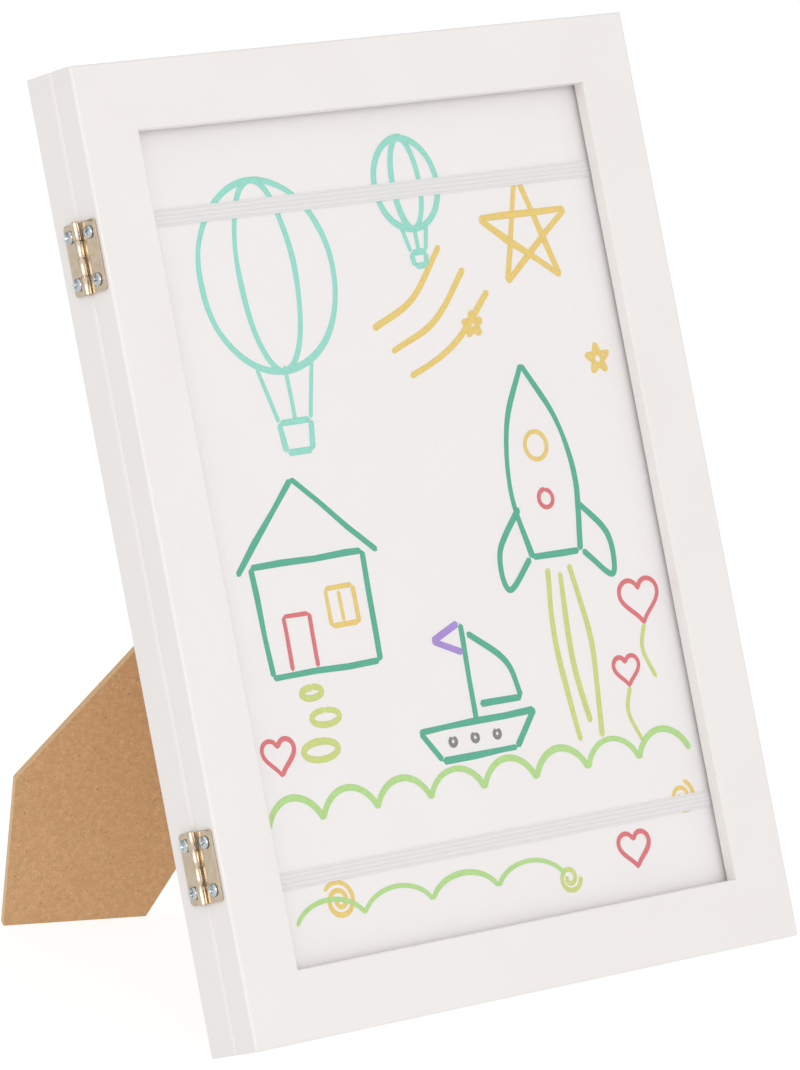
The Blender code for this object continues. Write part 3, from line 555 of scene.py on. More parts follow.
def flat_plate(outline, low, high, arris, ways=(X, Z, Y)):
    """A flat plate, drawn in by arris * (1 - sin a) at a depth of arris * (1 - cos a) on both faces."""
    angles = np.linspace(0, math.pi / 2, ARRIS_STEPS + 1)
    inset = np.concatenate([[1 + 4 * HELD_FLAT], 1 - np.sin(angles)]) * arris
    depth = np.concatenate([[0.0], 1 - np.cos(angles)]) * arris
    across, up, through = ways
    rings = []
    for inward, level in zip([*inset, *inset[::-1]], [*(low + depth), *(high - depth[::-1])]):
        edge = drawn_in(outline, inward)
        rings.append(edge[:, :1] * across + edge[:, 1:] * up + level * through)
    return loft(np.array(rings))


print("surface helpers ready")

# %% [markdown]
# ## From shells to pieces
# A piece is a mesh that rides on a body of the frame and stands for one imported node. Its shell is moved
# from the bench to the world, doubled points are merged, faces are turned outwards, and it is shaded smooth
# except where it really has an edge. Values that a recipe reads, such as rim, go in before the merging.

# %% Meshes and pieces
WELD = 0.0005 * MM
EDGE_ANGLE = math.radians(38)


def mesh_of(name, shell, values=None):
    points, faces = shell
    mesh = bpy.data.meshes.new(name)
    mesh.from_pydata(points.tolist(), [], faces)
    for title, numbers in (values or {}).items():
        mesh.attributes.new(title, "FLOAT", "POINT").data.foreach_set("value", numbers.astype(np.float32))
    bm = bmesh.new()
    bm.from_mesh(mesh)
    bmesh.ops.remove_doubles(bm, verts=bm.verts, dist=WELD)
    bmesh.ops.delete(bm, geom=[vertex for vertex in bm.verts if not vertex.link_faces], context="VERTS")
    bmesh.ops.recalc_face_normals(bm, faces=bm.faces)
    bm.to_mesh(mesh)
    bm.free()
    return mesh


def placed(name, mesh):
    """A new object for a mesh, in the scene."""
    thing = bpy.data.objects.new(name, mesh)
    bpy.context.scene.collection.objects.link(thing)
    return thing


def modified(mesh, kind, *changes):
    """The mesh after one modifier of a kind for each of the changes, which are its settings."""
    thing = placed("scratch", mesh)
    for settings in changes:
        modifier = thing.modifiers.new(kind.lower(), kind)
        for name, value in settings.items():
            setattr(modifier, name, value)
    bpy.context.view_layer.update()
    mesh = bpy.data.meshes.new_from_object(thing.evaluated_get(bpy.context.evaluated_depsgraph_get()))
    bpy.data.objects.remove(thing)
    return mesh


def carved(shell, tools):
    """What is left of a shell when each of the tools is taken out of it."""
    cutters = [placed("tool", mesh_of("tool", tool)) for tool in tools]
    cuts = [{"solver": "EXACT", "object": cutter} for cutter in cutters]
    left = modified(mesh_of("scratch", shell), "BOOLEAN", *cuts)
    for cutter in cutters:
        bpy.data.objects.remove(cutter)
    return points_of(left), [list(face.vertices) for face in left.polygons]


def piece(name, shell, material, body, node=None, on=bench, values=None, soften=0.0):
    """A shell on a bench as a piece on a body, its edges softened if it is given a width for that."""
    points, faces = shell
    mesh = mesh_of(name, (on.world(points), faces), values)
    if soften:
        change = {"width": soften, "segments": 2, "limit_method": "ANGLE", "angle_limit": EDGE_ANGLE}
        mesh = modified(mesh, "BEVEL", change)
    mesh.name = name
    mesh.shade_smooth()
    mesh.set_sharp_from_angle(angle=EDGE_ANGLE)
    mesh.materials.clear()
    mesh.materials.append(material)
    thing = placed(name, mesh)
    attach(thing, body)
    if node:
        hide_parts(node)


def flat_piece(name, node, material, body, corner, arris, front=None):
    """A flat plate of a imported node's own size, moved to another front if it is given one."""
    low, high = bench.reach(node)
    outline = rounded(rectangle(low[[0, 2]], high[[0, 2]]), corner)
    shift = 0.0 if front is None else front - low[1]
    piece(name, flat_plate(outline, low[1] + shift, high[1] + shift, arris), material, body, node)


print("piece helpers ready")

# %% [markdown]
# ## The painted lengths
# The box and the door are each four lengths of moulding, mitred at the corners. A length is one section and
# two slanted ends. Its corners are sanded before painting, and those small arcs catch the light as the
# bright lines along every edge. The last hundredth of a millimetre of a length is drawn in, which leaves
# the hairline that paint shows at a mitre.

# %% Sections of the mouldings
FRONT_ARRIS = 1.0 * MM
WINDOW_ARRIS = 0.8 * MM
BOX_ARRIS = 1.8 * MM
DOOR_ARRIS = 1.0 * MM
HIDDEN_ARRIS = 0.3 * MM

box_corners = [(0, 0), (0, BOX_FRONT), (BOX_WALL, BOX_FRONT)]
box_corners += [(BOX_WALL, LEDGE), (BACK_LAND, LEDGE), (BACK_LAND, 0)]
box_section = rounded(box_corners, [HIDDEN_ARRIS, BOX_ARRIS, DOOR_ARRIS, HIDDEN_ARRIS, 0, HIDDEN_ARRIS])
door_corners = [(0, DOOR_BACK), (0, DOOR_FRONT), (FACE_WIDTH, DOOR_FRONT)]
door_corners += [(FACE_WIDTH, LIP_BACK), (DOOR_LAND, LIP_BACK), (DOOR_LAND, DOOR_BACK)]
door_section = rounded(door_corners, [DOOR_ARRIS, FRONT_ARRIS, WINDOW_ARRIS, HIDDEN_ARRIS, 0, DOOR_ARRIS])
print("points round the box", len(box_section), "and the door", len(door_section))

# %% Mitred lengths
MITRE_GAP = 0.003 * MM
MITRE_GROOVE = 0.012 * MM
POCKET_ROOM = 0.12 * MM
POCKET_OVERRUN = 2.0 * MM
LEVELS = ("upper", "lower")
SIDES = {
    "top": ("rail", Z, X, HEIGHT / 2, HALF_WIDTH),
    "bottom": ("rail", -Z, X, HEIGHT / 2, HALF_WIDTH),
    "left": ("stile", -X, Z, HALF_WIDTH, HEIGHT / 2),
    "right": ("stile", X, Z, HALF_WIDTH, HEIGHT / 2),
}


def mitred(section, outward, along, half, reach):
    """A ring is middle + outward * (half - inward) + back * depth + along * level.

    The level is end * (reach - inward - short), so both ends slant at 45 degrees.
    """
    finer = drawn_in(section, MITRE_GROOVE)
    cuts = [(-1, finer, 0.0), (-1, section, MITRE_GROOVE), (1, section, MITRE_GROOVE), (1, finer, 0.0)]
    rings = []
    for end, edge, short in cuts:
        inward, depth = edge[:, :1], edge[:, 1:]
        level = end * (reach - inward - short - MITRE_GAP)
        rings.append(MIDDLE + outward * (half - inward) + Y * depth + along * level)
    return loft(np.array(rings))


def pocket(node, towards):
    """The round hole that a disc is pressed into, open towards the face that it lies in."""
    centre, half = bench.span(node)
    radius, floor, mouth = half[0] + POCKET_ROOM, -half[1] - POCKET_ROOM, half[1] + POCKET_OVERRUN
    return turned([(0.0, floor), (radius, floor), (radius, mouth), (0.0, mouth)], centre, towards)


for body, section, disc_name, towards in (
    ("box", box_section, "catch_magnet", -Y),
    ("door", door_section, "strike_disc", Y),
):
    for side, (kind, *place) in SIDES.items():
        shell = mitred(section, *place)
        if side == "right":
            shell = carved(shell, [pocket(f"{height}_{disc_name}", towards) for height in LEVELS])
        piece(f"{body}_{side}_moulding", shell, PAINT, body, f"{body}_{side}_{kind}")
print("eight painted lengths")

# %% [markdown]
# ## Boards
# The back panel and the strut are flat boards with sawn edges. The strut's corners are the hull of the
# packed board, measured on the strut's own bench. An edge that stands plumb shows the pale core in full, and
# one that lies across shows half of that, which is painted shade on the edges that face up or down.

# %% Back panel and strut
SAWN_ARRIS = 0.25 * MM
STRUT_ROUNDING = 0.8 * MM
HULL_STEP = 0.01 * MM
# The share of the pale core that an edge lying across keeps: painted shade on edges that face up or down.
ACROSS_PAINTED_SHADE_SHARE = 0.5


def board(name, node, body, on, outline, plumb):
    """A flat plate whose rim is 0 on the faces and c + (1 - c) * |along . plumb| ^ 8 on the edges.

    c is ACROSS_PAINTED_SHADE_SHARE, so a plumb edge has 1 and an edge square to it, which faces up or down,
    has c: painted shade on that edge.
    """
    low, high = on.reach(node)
    points, faces = flat_plate(outline, low[1], high[1], SAWN_ARRIS)
    rings = len(points) // len(outline)
    sawn = np.isin(np.arange(rings), (0, 1, rings - 2, rings - 1), invert=True)
    along = unit(np.roll(outline, -1, 0) - np.roll(outline, 1, 0))
    # Painted shade: edges that lie across keep less of the pale core than plumb ones.
    painted_shade_share = ACROSS_PAINTED_SHADE_SHARE + (1 - ACROSS_PAINTED_SHADE_SHARE) * np.abs(along @ plumb) ** 8
    values = {"rim": np.outer(sawn, painted_shade_share).ravel()}
    piece(name, (points, faces), FIBREBOARD, body, node, on, values)


def hull(places):
    """The corners of a flat group of places, in order round it."""
    corners = np.unique(np.round(places / HULL_STEP) * HULL_STEP, axis=0)
    return corners[geometry.convex_hull_2d(corners.tolist())]


strut_hull = hull(strut_bench.places("strut_board")[:, [0, 2]])
strut_plumb = (seat_bench.ways @ bench.ways[2])[[0, 2]]
panel_outline = rectangle(panel_low[[0, 2]], panel_high[[0, 2]])
strut_outline = rounded(strut_hull, STRUT_ROUNDING)
board("strut_sawn_board", "strut_board", "strut", strut_bench, strut_outline, strut_plumb)
board("back_sawn_board", "back_panel", "box", bench, panel_outline, (0.0, 1.0))
print("strut corners", len(strut_hull))

# %% [markdown]
# ## Paper
# The front sheet is one leaf of drawing paper, a band's thickness behind the pane. Behind it the box is
# full of older sheets, whose edges never line up quite. One packed block stands for that stack, so it is
# split into leaves, each shifted by a few tenths of a millimetre.

# %% The front sheet and the stack
BAND_THICKNESS = 0.5 * MM
SHEET_ARRIS = 0.03 * MM
SHEET_FRONT = pane_high[1] + TOUCH + BAND_THICKNESS + TOUCH
LEAVES = 34
LEAF_SHARE = 0.72
LEAF_SHIFT = 0.35 * MM
dice = np.random.default_rng(7)


def stack(low, high):
    """Leaf k is a thin block from depth low + k * pitch, its corners shifted by two small random numbers."""
    pitch = (high[1] - low[1]) / LEAVES
    shift = dice.uniform(-1, 1, (LEAVES, 1, 2)) * LEAF_SHIFT
    inwards = -LEAF_SHIFT * rectangle((-1, -1), (1, 1))
    edge = rectangle(low[[0, 2]], high[[0, 2]])[None] + shift + inwards
    front = low[1] + pitch * np.arange(LEAVES)[:, None, None]
    leaves = []
    for depth in (front, front + pitch * LEAF_SHARE):
        level = np.broadcast_to(depth, (LEAVES, 4, 1))
        leaves.append(np.concatenate([edge[..., :1], level, edge[..., 1:]], -1))
    return joined([loft(np.array([near, far])) for near, far in zip(*leaves)])


flat_piece("drawing_sheet", "artwork_sheet", PAPER, "box", 0.0, SHEET_ARRIS, SHEET_FRONT)
piece("stored_drawings", stack(*bench.reach("stored_sheets")), PAPER, "box", "stored_sheets")
print("leaves in the stack", LEAVES)

# %% [markdown]
# ## Elastic bands
# A band runs up one inner wall of the box, over the edge of the sheets, straight across them and down the
# other wall: a section carried along that path. The section has four ribs on each face, and its edges swell
# and shrink a little with every stitch.

# %% Bands
BAND_GROOVE = 0.04 * MM
BAND_BEND = 0.6 * MM
PAPER_ROOM = 0.15 * MM
STITCH = 1.1 * MM
SELVEDGE = 0.3
EDGE_RIPPLE = 0.006


def evenly(path, spacing):
    """The path again, with points at equal steps along its length, and how far along each one lies."""
    steps = np.linalg.norm(np.diff(path, axis=0), axis=1)
    length = np.concatenate([[0.0], np.cumsum(steps)])
    marks = np.linspace(0, length[-1], max(int(length[-1] / spacing), 2) + 1)
    return np.stack([np.interp(marks, length, column) for column in path.T], -1), marks


def band_section(width):
    """Half thickness = t / 2 - groove * (1 - |sin(4 pi v)| ^ 0.7), for v from 0 to 1 across the width."""
    share = np.linspace(0, 1, 10 * BAND_RIBS + 1)
    half = BAND_THICKNESS / 2 - BAND_GROOVE * (1 - np.abs(np.sin(math.pi * BAND_RIBS * share)) ** 0.7)
    half[[0, -1]] *= SELVEDGE
    over = np.stack([half, (share - 0.5) * width], -1)
    return np.vstack([over, over[::-1] * (-1, 1)])


def band(node):
    low, high = bench.reach(node)
    width = high[2] - low[2]
    wall = high[0] - BAND_THICKNESS / 2
    front = pane_high[1] + TOUCH + BAND_THICKNESS / 2
    edge = HALF_SHEET + PAPER_ROOM + BAND_THICKNESS / 2
    turn = BOX_FRONT + BAND_BEND
    corners = [(-wall, high[1]), (-wall, turn), (-edge, front), (edge, front), (wall, turn), (wall, high[1])]
    path, marks = evenly(rounded(corners, [0, *[BAND_BEND] * 4, 0]), STITCH / 4)
    path = np.stack([path[:, 0], path[:, 1], np.full(len(path), (low[2] + high[2]) / 2)], -1)
    section = band_section(width)
    sections = np.repeat(section[None], len(path), 0)
    sections[..., 1] *= (1 - EDGE_RIPPLE * (1 + np.sin(2 * math.pi * marks / STITCH)))[:, None]
    values = {"along": np.repeat(marks, len(section)), "across": np.tile(section[:, 1] / width, len(path))}
    shell = carried(sections, path, Z)
    piece(node.replace("band", "elastic"), shell, ELASTIC, "box", node, values=values)


HALF_SHEET = bench.reach("artwork_sheet")[1][0]
for height in LEVELS:
    band(f"{height}_band")
print("two elastic bands")

# %% [markdown]
# ## Staples
# A staple is round wire bent twice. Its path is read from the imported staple's box: down one leg, along the
# crown and up the other leg, with a small arc at each bend. Four hold the band ends, and four hold the back
# panel.

# %% Staples
WIRE_STEPS = 12


def compass(angles):
    """The directions at some angles, as rows of cos a and sin a."""
    return np.stack([np.cos(angles), np.sin(angles)], -1)


def staple(name, node, crown, leg):
    """A round section carried along a bent path, from leg end to leg end."""
    middle, size = bench.span(node)
    radius = size @ np.abs(np.cross(crown, leg))
    half = size @ np.abs(crown) - radius
    depth = size @ np.abs(leg)
    corners = [(-half, depth), (-half, radius - depth), (half, radius - depth), (half, depth)]
    bend = rounded(corners, [0, 2 * radius, 2 * radius, 0])
    path = middle + bend[:, :1] * crown + bend[:, 1:] * leg
    section = radius * compass(2 * math.pi * np.arange(WIRE_STEPS) / WIRE_STEPS)
    piece(name, carried(section, path, np.cross(crown, leg)), STEEL, "box", node)


for side, (kind, outward, along, *_) in SIDES.items():
    staple(f"panel_wire_{side}", f"panel_staple_{side}", along, -Y)
    if kind == "stile":
        for height in LEVELS:
            staple(f"{height}_band_wire_{side}", f"{height}_band_staple_{side}", Z, outward)
print("eight staples")

# %% [markdown]
# ## The door's glazing
# The clear pane drops into the rebate behind the lip, and four steel tabs, pushed into the moulding, keep
# it there. The pane's edges are flame polished, so its arris is wider than a saw would leave.

# %% Pane and tabs
PANE_CORNER = 0.5 * MM
PANE_ARRIS = 0.25 * MM
TAB_CORNER = 1.2 * MM
TAB_ARRIS = 0.1 * MM

flat_piece("clear_window", "pane", ACRYLIC, "door", PANE_CORNER, PANE_ARRIS)
for side in SIDES:
    name, node = f"glazing_plate_{side}", f"glazing_tab_{side}"
    flat_piece(name, node, STEEL, "door", TAB_CORNER, TAB_ARRIS)
print("pane and four tabs")

# %% [markdown]
# ## Hinge leaves
# A hinge leaf is one strip of metal: a plate with rounded corners, parts of which run on and curl round the
# pin. To give the curl its open end, the leaf is cut into stations along the pin. Each station is the
# outline of the strip there, with or without the curl, and the skin joins one station to the next. Where a
# curl starts or ends, its own outline is filled.

# %% Leaves
LEAF_METAL = 0.8 * MM
LEAF_NOTCH = 2.3 * MM
LEAF_SOFTEN = 0.12 * MM
CURL_ANGLES = -math.pi / 2 - np.radians(292.5) * np.linspace(0, 1, 37)
CORNER_STEPS = 7


def curl_outline(radius):
    """The outer circle from the wood side round the pin, and the inner one back again."""
    ways = compass(CURL_ANGLES)
    return np.vstack([radius * ways, (radius - LEAF_METAL) * ways[::-1]])


def leaf(reach, radius, corner, half, knuckles, curl, ways):
    """At station s the plate ends reach - c + sqrt(c² - (c - d)²) from the pin.

    d is the distance from the leaf's end and c the corner's radius. Where d is more than c it ends at reach.
    """
    away, out, along = ways
    ends = half - corner * (1 - np.cos(np.linspace(0, math.pi / 2, CORNER_STEPS)))
    stations = np.unique(np.round(np.concatenate([ends, -ends, *knuckles]), 9))
    depth = np.clip(corner - (half - np.abs(stations)), 0, corner)
    flat = np.zeros((len(stations), 4 + len(curl), 2))
    flat[:, (0, 3), 0] = (reach - corner + np.sqrt(corner**2 - depth**2))[:, None]
    flat[:, (1, 2), 0] = LEAF_NOTCH
    flat[:, (0, 1), 1] = -radius
    flat[:, (2, 3), 1] = LEAF_METAL - radius
    flat[:, 4:] = curl
    points = flat[..., :1] * away + flat[..., 1:] * out + stations[:, None, None] * along
    bare = np.arange(4)
    whole = np.concatenate([[0, 1], 4 + np.arange(len(curl)), [2, 3]])
    middles = (stations[:-1] + stations[1:]) / 2
    curled = [any(low < middle < high for low, high in knuckles) for middle in middles]
    count = flat.shape[1]
    faces = []
    for index, with_curl in enumerate(curled):
        near = index * count + (whole if with_curl else bare)
        faces += np.stack([near, np.roll(near, -1), np.roll(near, -1) + count, near + count], -1).tolist()
        if index and with_curl != curled[index - 1]:
            faces.append((index * count + whole[1:-1]).tolist())
    faces.append((whole if curled[0] else bare).tolist())
    faces.append((len(curled) * count + (whole if curled[-1] else bare)).tolist())
    return points.reshape(-1, 3), faces


print("leaf helper ready")

# %% The side hinges
LEAF_CORNER = 1.5 * MM
KNUCKLES = 4
KNUCKLE_GAP = 0.2 * MM
PIN_HEAD = 0.5 * MM
PIN_CAP = 0.4 * MM
PIN_STEPS = 6

pin = bench.measured(np.array(joints["door_swing"]["pos_m"]))


def knuckles_from(first, half):
    """Every second length of the barrel from the first one on, with half a gap at each inner end."""
    edges = np.linspace(-half, half, KNUCKLES + 1)
    lows, highs = edges[:-1] + KNUCKLE_GAP / 2, edges[1:] - KNUCKLE_GAP / 2
    lows[0], highs[-1] = -half, half
    return list(zip(lows, highs))[first::2]


def side_leaf(height, body, first, away):
    node = f"{height}_hinge_{body}_leaf"
    low, high = bench.reach(node)
    half = (high[2] - low[2]) / 2
    radius = pin[0] - low[0]
    reach = max(abs(low[1] - pin[1]), abs(high[1] - pin[1]))
    spans, curl = knuckles_from(first, half), curl_outline(radius)
    points, faces = leaf(reach, radius, LEAF_CORNER, half, spans, curl, (away, -X, Z))
    shell = points + (pin[0], pin[1], (low[2] + high[2]) / 2), faces
    piece(f"{height}_{body}_leaf_plate", shell, NICKEL, body, node, soften=LEAF_SOFTEN)


def pin_shell(node):
    """A plain bar with a domed head at each end, turned about the pin's own line."""
    middle, (wide, _, tall) = bench.span(node)
    angles = np.linspace(0, math.pi / 2, PIN_STEPS)
    dome = np.stack([wide * np.sin(angles), tall - PIN_CAP + PIN_CAP * np.cos(angles)], -1)
    top = np.vstack([dome, [(wide, tall - PIN_CAP), (wide - PIN_HEAD, tall - PIN_CAP)]])
    return turned(np.vstack([top, top[::-1] * (1, -1)]), middle, Z)


for height in LEVELS:
    side_leaf(height, "box", 1, Y)
    side_leaf(height, "door", 0, -Y)
    node = f"{height}_hinge_pin"
    piece(f"{height}_pin_bar", pin_shell(node), NICKEL, "box", node)
print("two side hinges")

# %% [markdown]
# ## Screws, rivets, nails and discs
# These are all turned on a lathe, so each is a profile about an axis. A screw's head also has the cross
# that the driver fits, whose four arms taper as they go down. It is cut once, and that one head is then
# turned for all eight screws, because no two screws stop at the same angle.

# %% Turned fasteners
DOME_STEPS = 12
HEAD_RIM = 0.35 * MM
HEAD_SOFTEN = 0.12 * MM
SCREW_SHANK = 1.2 * MM
SCREW_POINT = 2.5 * MM
CROSS_SPAN = 2.7 * MM
CROSS_WIDTH = 0.62 * MM
CROSS_DEPTH = 0.8 * MM
CROSS_TAPER = 0.45


def domed(radius, rim, height, shank, length, point):
    """A dome of r sin a, rim + (height - rim) cos a, a short straight rim, and a shank with a point."""
    angles = np.linspace(0, math.pi / 2, DOME_STEPS)
    dome = np.stack([radius * np.sin(angles), rim + (height - rim) * np.cos(angles)], -1)
    under = [(radius, HEAD_SOFTEN), (radius - HEAD_SOFTEN, 0.0), (shank, 0.0)]
    return np.vstack([dome, under, [(shank, point - length), (0.0, -length)]])


def cross_tool(top):
    """The cross's twelve corners at two levels, the lower one narrower by the taper."""
    far, near = CROSS_SPAN / 2, CROSS_WIDTH / 2
    arm = np.array([(near, near), (near, far), (-near, far)])
    quarter = np.array([[0, 1], [-1, 0]])
    corners = np.vstack([arm @ np.linalg.matrix_power(quarter, turn) for turn in range(4)])
    rings = []
    for level, share in ((top - CROSS_DEPTH, CROSS_TAPER), (top + CROSS_DEPTH, 2 - CROSS_TAPER)):
        rings.append(np.concatenate([corners * share, np.full((len(corners), 1), level)], -1))
    return loft(np.array(rings))


screw_low, screw_high = bench.reach("upper_hinge_box_screw_top")
SEAT_X = bench.reach("upper_hinge_box_leaf")[1][0] - LEAF_METAL - SEAT
HEAD_RADIUS = (screw_high[1] - screw_low[1]) / 2
HEAD_HEIGHT = SEAT_X - screw_low[0]
screw_profile = domed(HEAD_RADIUS, HEAD_RIM, HEAD_HEIGHT, SCREW_SHANK, screw_high[0] - SEAT_X, SCREW_POINT)
screw_points, screw_faces = carved(turned(screw_profile, np.zeros(3), Z), [cross_tool(HEAD_HEIGHT)])


def screw(node, body, angle):
    """The head turned by its own angle about its axis, that axis then laid to the left."""
    _, y, z = bench.span(node)[0]
    cos, sin = math.cos(angle), math.sin(angle)
    a = screw_points[:, 0] * cos - screw_points[:, 1] * sin
    b = screw_points[:, 0] * sin + screw_points[:, 1] * cos
    points = np.array([SEAT_X, y, z]) + a[:, None] * Y + b[:, None] * Z - screw_points[:, 2:] * X
    piece(node.replace("screw", "fixing"), (points, screw_faces), ZINC, body, node)


for height in LEVELS:
    for body in ("box", "door"):
        for end in ("top", "bottom"):
            screw(f"{height}_hinge_{body}_screw_{end}", body, dice.uniform(0, math.pi / 2))
print("eight screws, head", round(2 * HEAD_RADIUS / MM, 2), "mm")

# %% [markdown]
# ## The strut's hinge
# The strut turns on a small hinge that lies across the frame at a slant. One leaf is riveted to the back
# panel. The other is riveted to the board, and its middle knuckle is drawn out into a tongue, which comes
# to lie on the fixed leaf and so stops the strut when it is open.

# %% Strut hinge
STRUT_CORNER = 2.0 * MM
TONGUE = 5.7 * MM
OUTER_KNUCKLE = 6.0 * MM
BAR_BEVEL = 0.15 * MM

fixed_low, fixed_high = seat_bench.reach("strut_hinge_fixed_leaf")
BARREL = -fixed_low[1]
HALF_HINGE = fixed_high[0]
outer = [(-HALF_HINGE, OUTER_KNUCKLE - HALF_HINGE), (HALF_HINGE - OUTER_KNUCKLE, HALF_HINGE)]
inner = [(OUTER_KNUCKLE + KNUCKLE_GAP - HALF_HINGE, HALF_HINGE - OUTER_KNUCKLE - KNUCKLE_GAP)]


def tongue_curl():
    """The curl with a flat tongue that leaves it where the open strut's stop meets the fixed leaf.

    The fixed leaf's up and back are turned by the opening angle into the strut's own directions.
    """
    up = np.array([-math.cos(STRUT_OPEN), math.sin(STRUT_OPEN)])
    back = np.array([math.sin(STRUT_OPEN), math.cos(STRUT_OPEN)])
    near = LEAF_METAL - BARREL + SEAT
    sides = np.array([near, near + LEAF_METAL])
    roots = np.sqrt(BARREL**2 - sides**2)[:, None] * up + sides[:, None] * back
    tips = TONGUE * up + sides[:, None] * back
    leaves_at = np.arctan2(roots[:, 1], roots[:, 0]) - 2 * math.pi
    outer_circle, inner_circle = np.split(curl_outline(BARREL), 2)
    before = outer_circle[CURL_ANGLES > leaves_at[0]]
    after = outer_circle[CURL_ANGLES < leaves_at[1]]
    return np.vstack([before, roots[:1], tips, roots[1:], after, inner_circle])


def strut_leaf(name, node, body, on, reach, knuckles, curl, away):
    shell = leaf(reach, BARREL, STRUT_CORNER, HALF_HINGE, knuckles, curl, (away, Y, X))
    piece(name, shell, NICKEL, body, node, on, soften=LEAF_SOFTEN)


fixed, moving = "strut_hinge_fixed_leaf", "strut_hinge_moving_leaf"
strut_leaf("strut_seat_plate", fixed, "box", seat_bench, fixed_high[2], outer, curl_outline(BARREL), Z)
reach = -strut_bench.reach(moving)[0][2]
strut_leaf("strut_swing_plate", moving, "strut", strut_bench, reach, inner, tongue_curl(), -Z)
bar_low, bar_high = seat_bench.reach("strut_hinge_pin")
bar, end = (bar_high[2] - bar_low[2]) / 2, bar_high[0]
half_profile = np.array([(0.0, end), (bar - BAR_BEVEL, end), (bar, end - BAR_BEVEL)])
shell = turned(np.vstack([half_profile, half_profile[::-1] * (1, -1)]), np.zeros(3), X)
piece("strut_pin_bar", shell, NICKEL, "box", "strut_hinge_pin", seat_bench)
print("strut hinge", round(2 * HALF_HINGE / MM, 1), "mm wide")

# %% Rivets, nails and discs
RIVET_SHANK = 1.4 * MM
NAIL_SHANK = 0.6 * MM
NAIL_POINT = 1.5 * MM
HEAD_RISE = 0.36
DISC_EDGE = 0.3 * MM


def fastener(name, node, on, body, material, shank, point):
    """A domed head towards the back of its bench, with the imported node's size and place."""
    middle, half = on.span(node)
    height = half[0] * HEAD_RISE
    length = 2 * half[1] - height
    at = middle + Y * (half[1] - height)
    shell = turned(domed(half[0], HEAD_SOFTEN, height, shank, length, point), at, Y)
    piece(name, shell, material, body, node, on)


def disc(name, node, towards, body, material):
    """A disc with a turned edge, flush in its pocket."""
    middle, (radius, half, _) = bench.span(node)
    rim = [(radius - DISC_EDGE, half), (radius, half - DISC_EDGE), (radius, -half)]
    profile = [(0.0, half), *rim, (0.0, -half)]
    piece(name, turned(profile, middle, towards), material, body, node)


RIVETED = (("seat", "fixed", bench, "box"), ("swing", "moving", strut_bench, "strut"))
for side in ("left", "right"):
    for name, which, on, body in RIVETED:
        node = f"{which}_leaf_rivet_{side}"
        fastener(f"{name}_rivet_{side}", node, on, body, ZINC, RIVET_SHANK, 0.0)
for which in ("portrait", "landscape"):
    for end in ("first", "second"):
        node = f"{which}_hanger_nail_{end}"
        fastener(f"{which}_tack_{end}", node, bench, "box", STEEL, NAIL_SHANK, NAIL_POINT)
for height in LEVELS:
    disc(f"{height}_magnet_disc", f"{height}_catch_magnet", -Y, "box", FERRITE)
    disc(f"{height}_keeper_disc", f"{height}_strike_disc", Y, "door", STEEL)
print("rivets, nails and discs")

# %% [markdown]
# ## Sawtooth hangers
# Two small pressed plates let the frame hang upright or lying down. Their lower edge is a row of teeth, so
# that the frame can be levelled on one nail. Every pitch goes down to the edge and up again.

# %% Hangers
TEETH = 9
TOOTHED_SHARE = 0.6
TOOTH = 1.5 * MM
HANGER_CORNER = 1.5 * MM
HANGER_ARRIS = 0.1 * MM


def hanger_outline(half, rise):
    """Tooth k starts at k * pitch from the end of the toothed stretch and has its root half a pitch on."""
    along = np.linspace(-half, half, 2 * TEETH + 1) * TOOTHED_SHARE
    lift = np.where(np.arange(2 * TEETH + 1) % 2, TOOTH, 0.0)
    teeth = np.stack([along, lift - rise], -1)
    corners = [(half, -rise), (half, rise), (-half, rise), (-half, -rise), tuple(teeth[0])]
    return np.vstack([teeth, rounded(corners, [HANGER_CORNER] * 4 + [0])[:-1]])


for which, side in (("portrait", "top"), ("landscape", "right")):
    outward, along = SIDES[side][1:3]
    middle, size = bench.span(f"{which}_hanger")
    outline = hanger_outline(size @ along, size @ outward)
    front, back = middle[1] - size[1], middle[1] + size[1]
    points, faces = flat_plate(outline, front, back, HANGER_ARRIS, (along, outward, Y))
    shell = points + middle * (1 - Y), faces
    piece(f"{which}_hanging_plate", shell, STEEL, "box", f"{which}_hanger")
print("two hangers")

# %% [markdown]
# ## The drawing
# The sheet carries a felt-tip drawing in the colours that the photograph shows: balloons, stars, a shooting
# star, a rocket, a house, a boat on waves, hearts and swirls. A felt-tip line is a flat ribbon with round
# ends that hardly stands off the paper. So each stroke is a low section carried along a curve, and the pen
# is lifted at a sharp corner. A slow random wobble makes it look drawn by a small hand. Where lines cross,
# one has to lie over the other, so each stroke starts a hair above the one before it and rises a little on
# its way.

# %% Strokes
PEN = 2.3 * MM
FINE_PEN = 1.7 * MM
PEN_STEP = 0.9 * MM
INK_LIFT = 0.01 * MM
INK_HEIGHT = 0.004 * MM
INK_STEP = 0.006 * MM
INK_LEVELS = 12
INK_RISE = 0.7
INK_SECTION = np.array([(-1.0, 0.0), (-0.8, 1.0), (0.0, 1.2), (0.8, 1.0), (1.0, 0.0), (0.0, -0.6)])
WOBBLE = 0.35 * MM
WOBBLE_STEP = 14 * MM
SWELL = 0.08
THINNEST = 0.02
SHARP_TURN = math.radians(35)
CURVE_STEPS = 12
OVAL_POINTS = 60
stroke_dice = np.random.default_rng(23)
drawing = {name: [] for name in INKS}


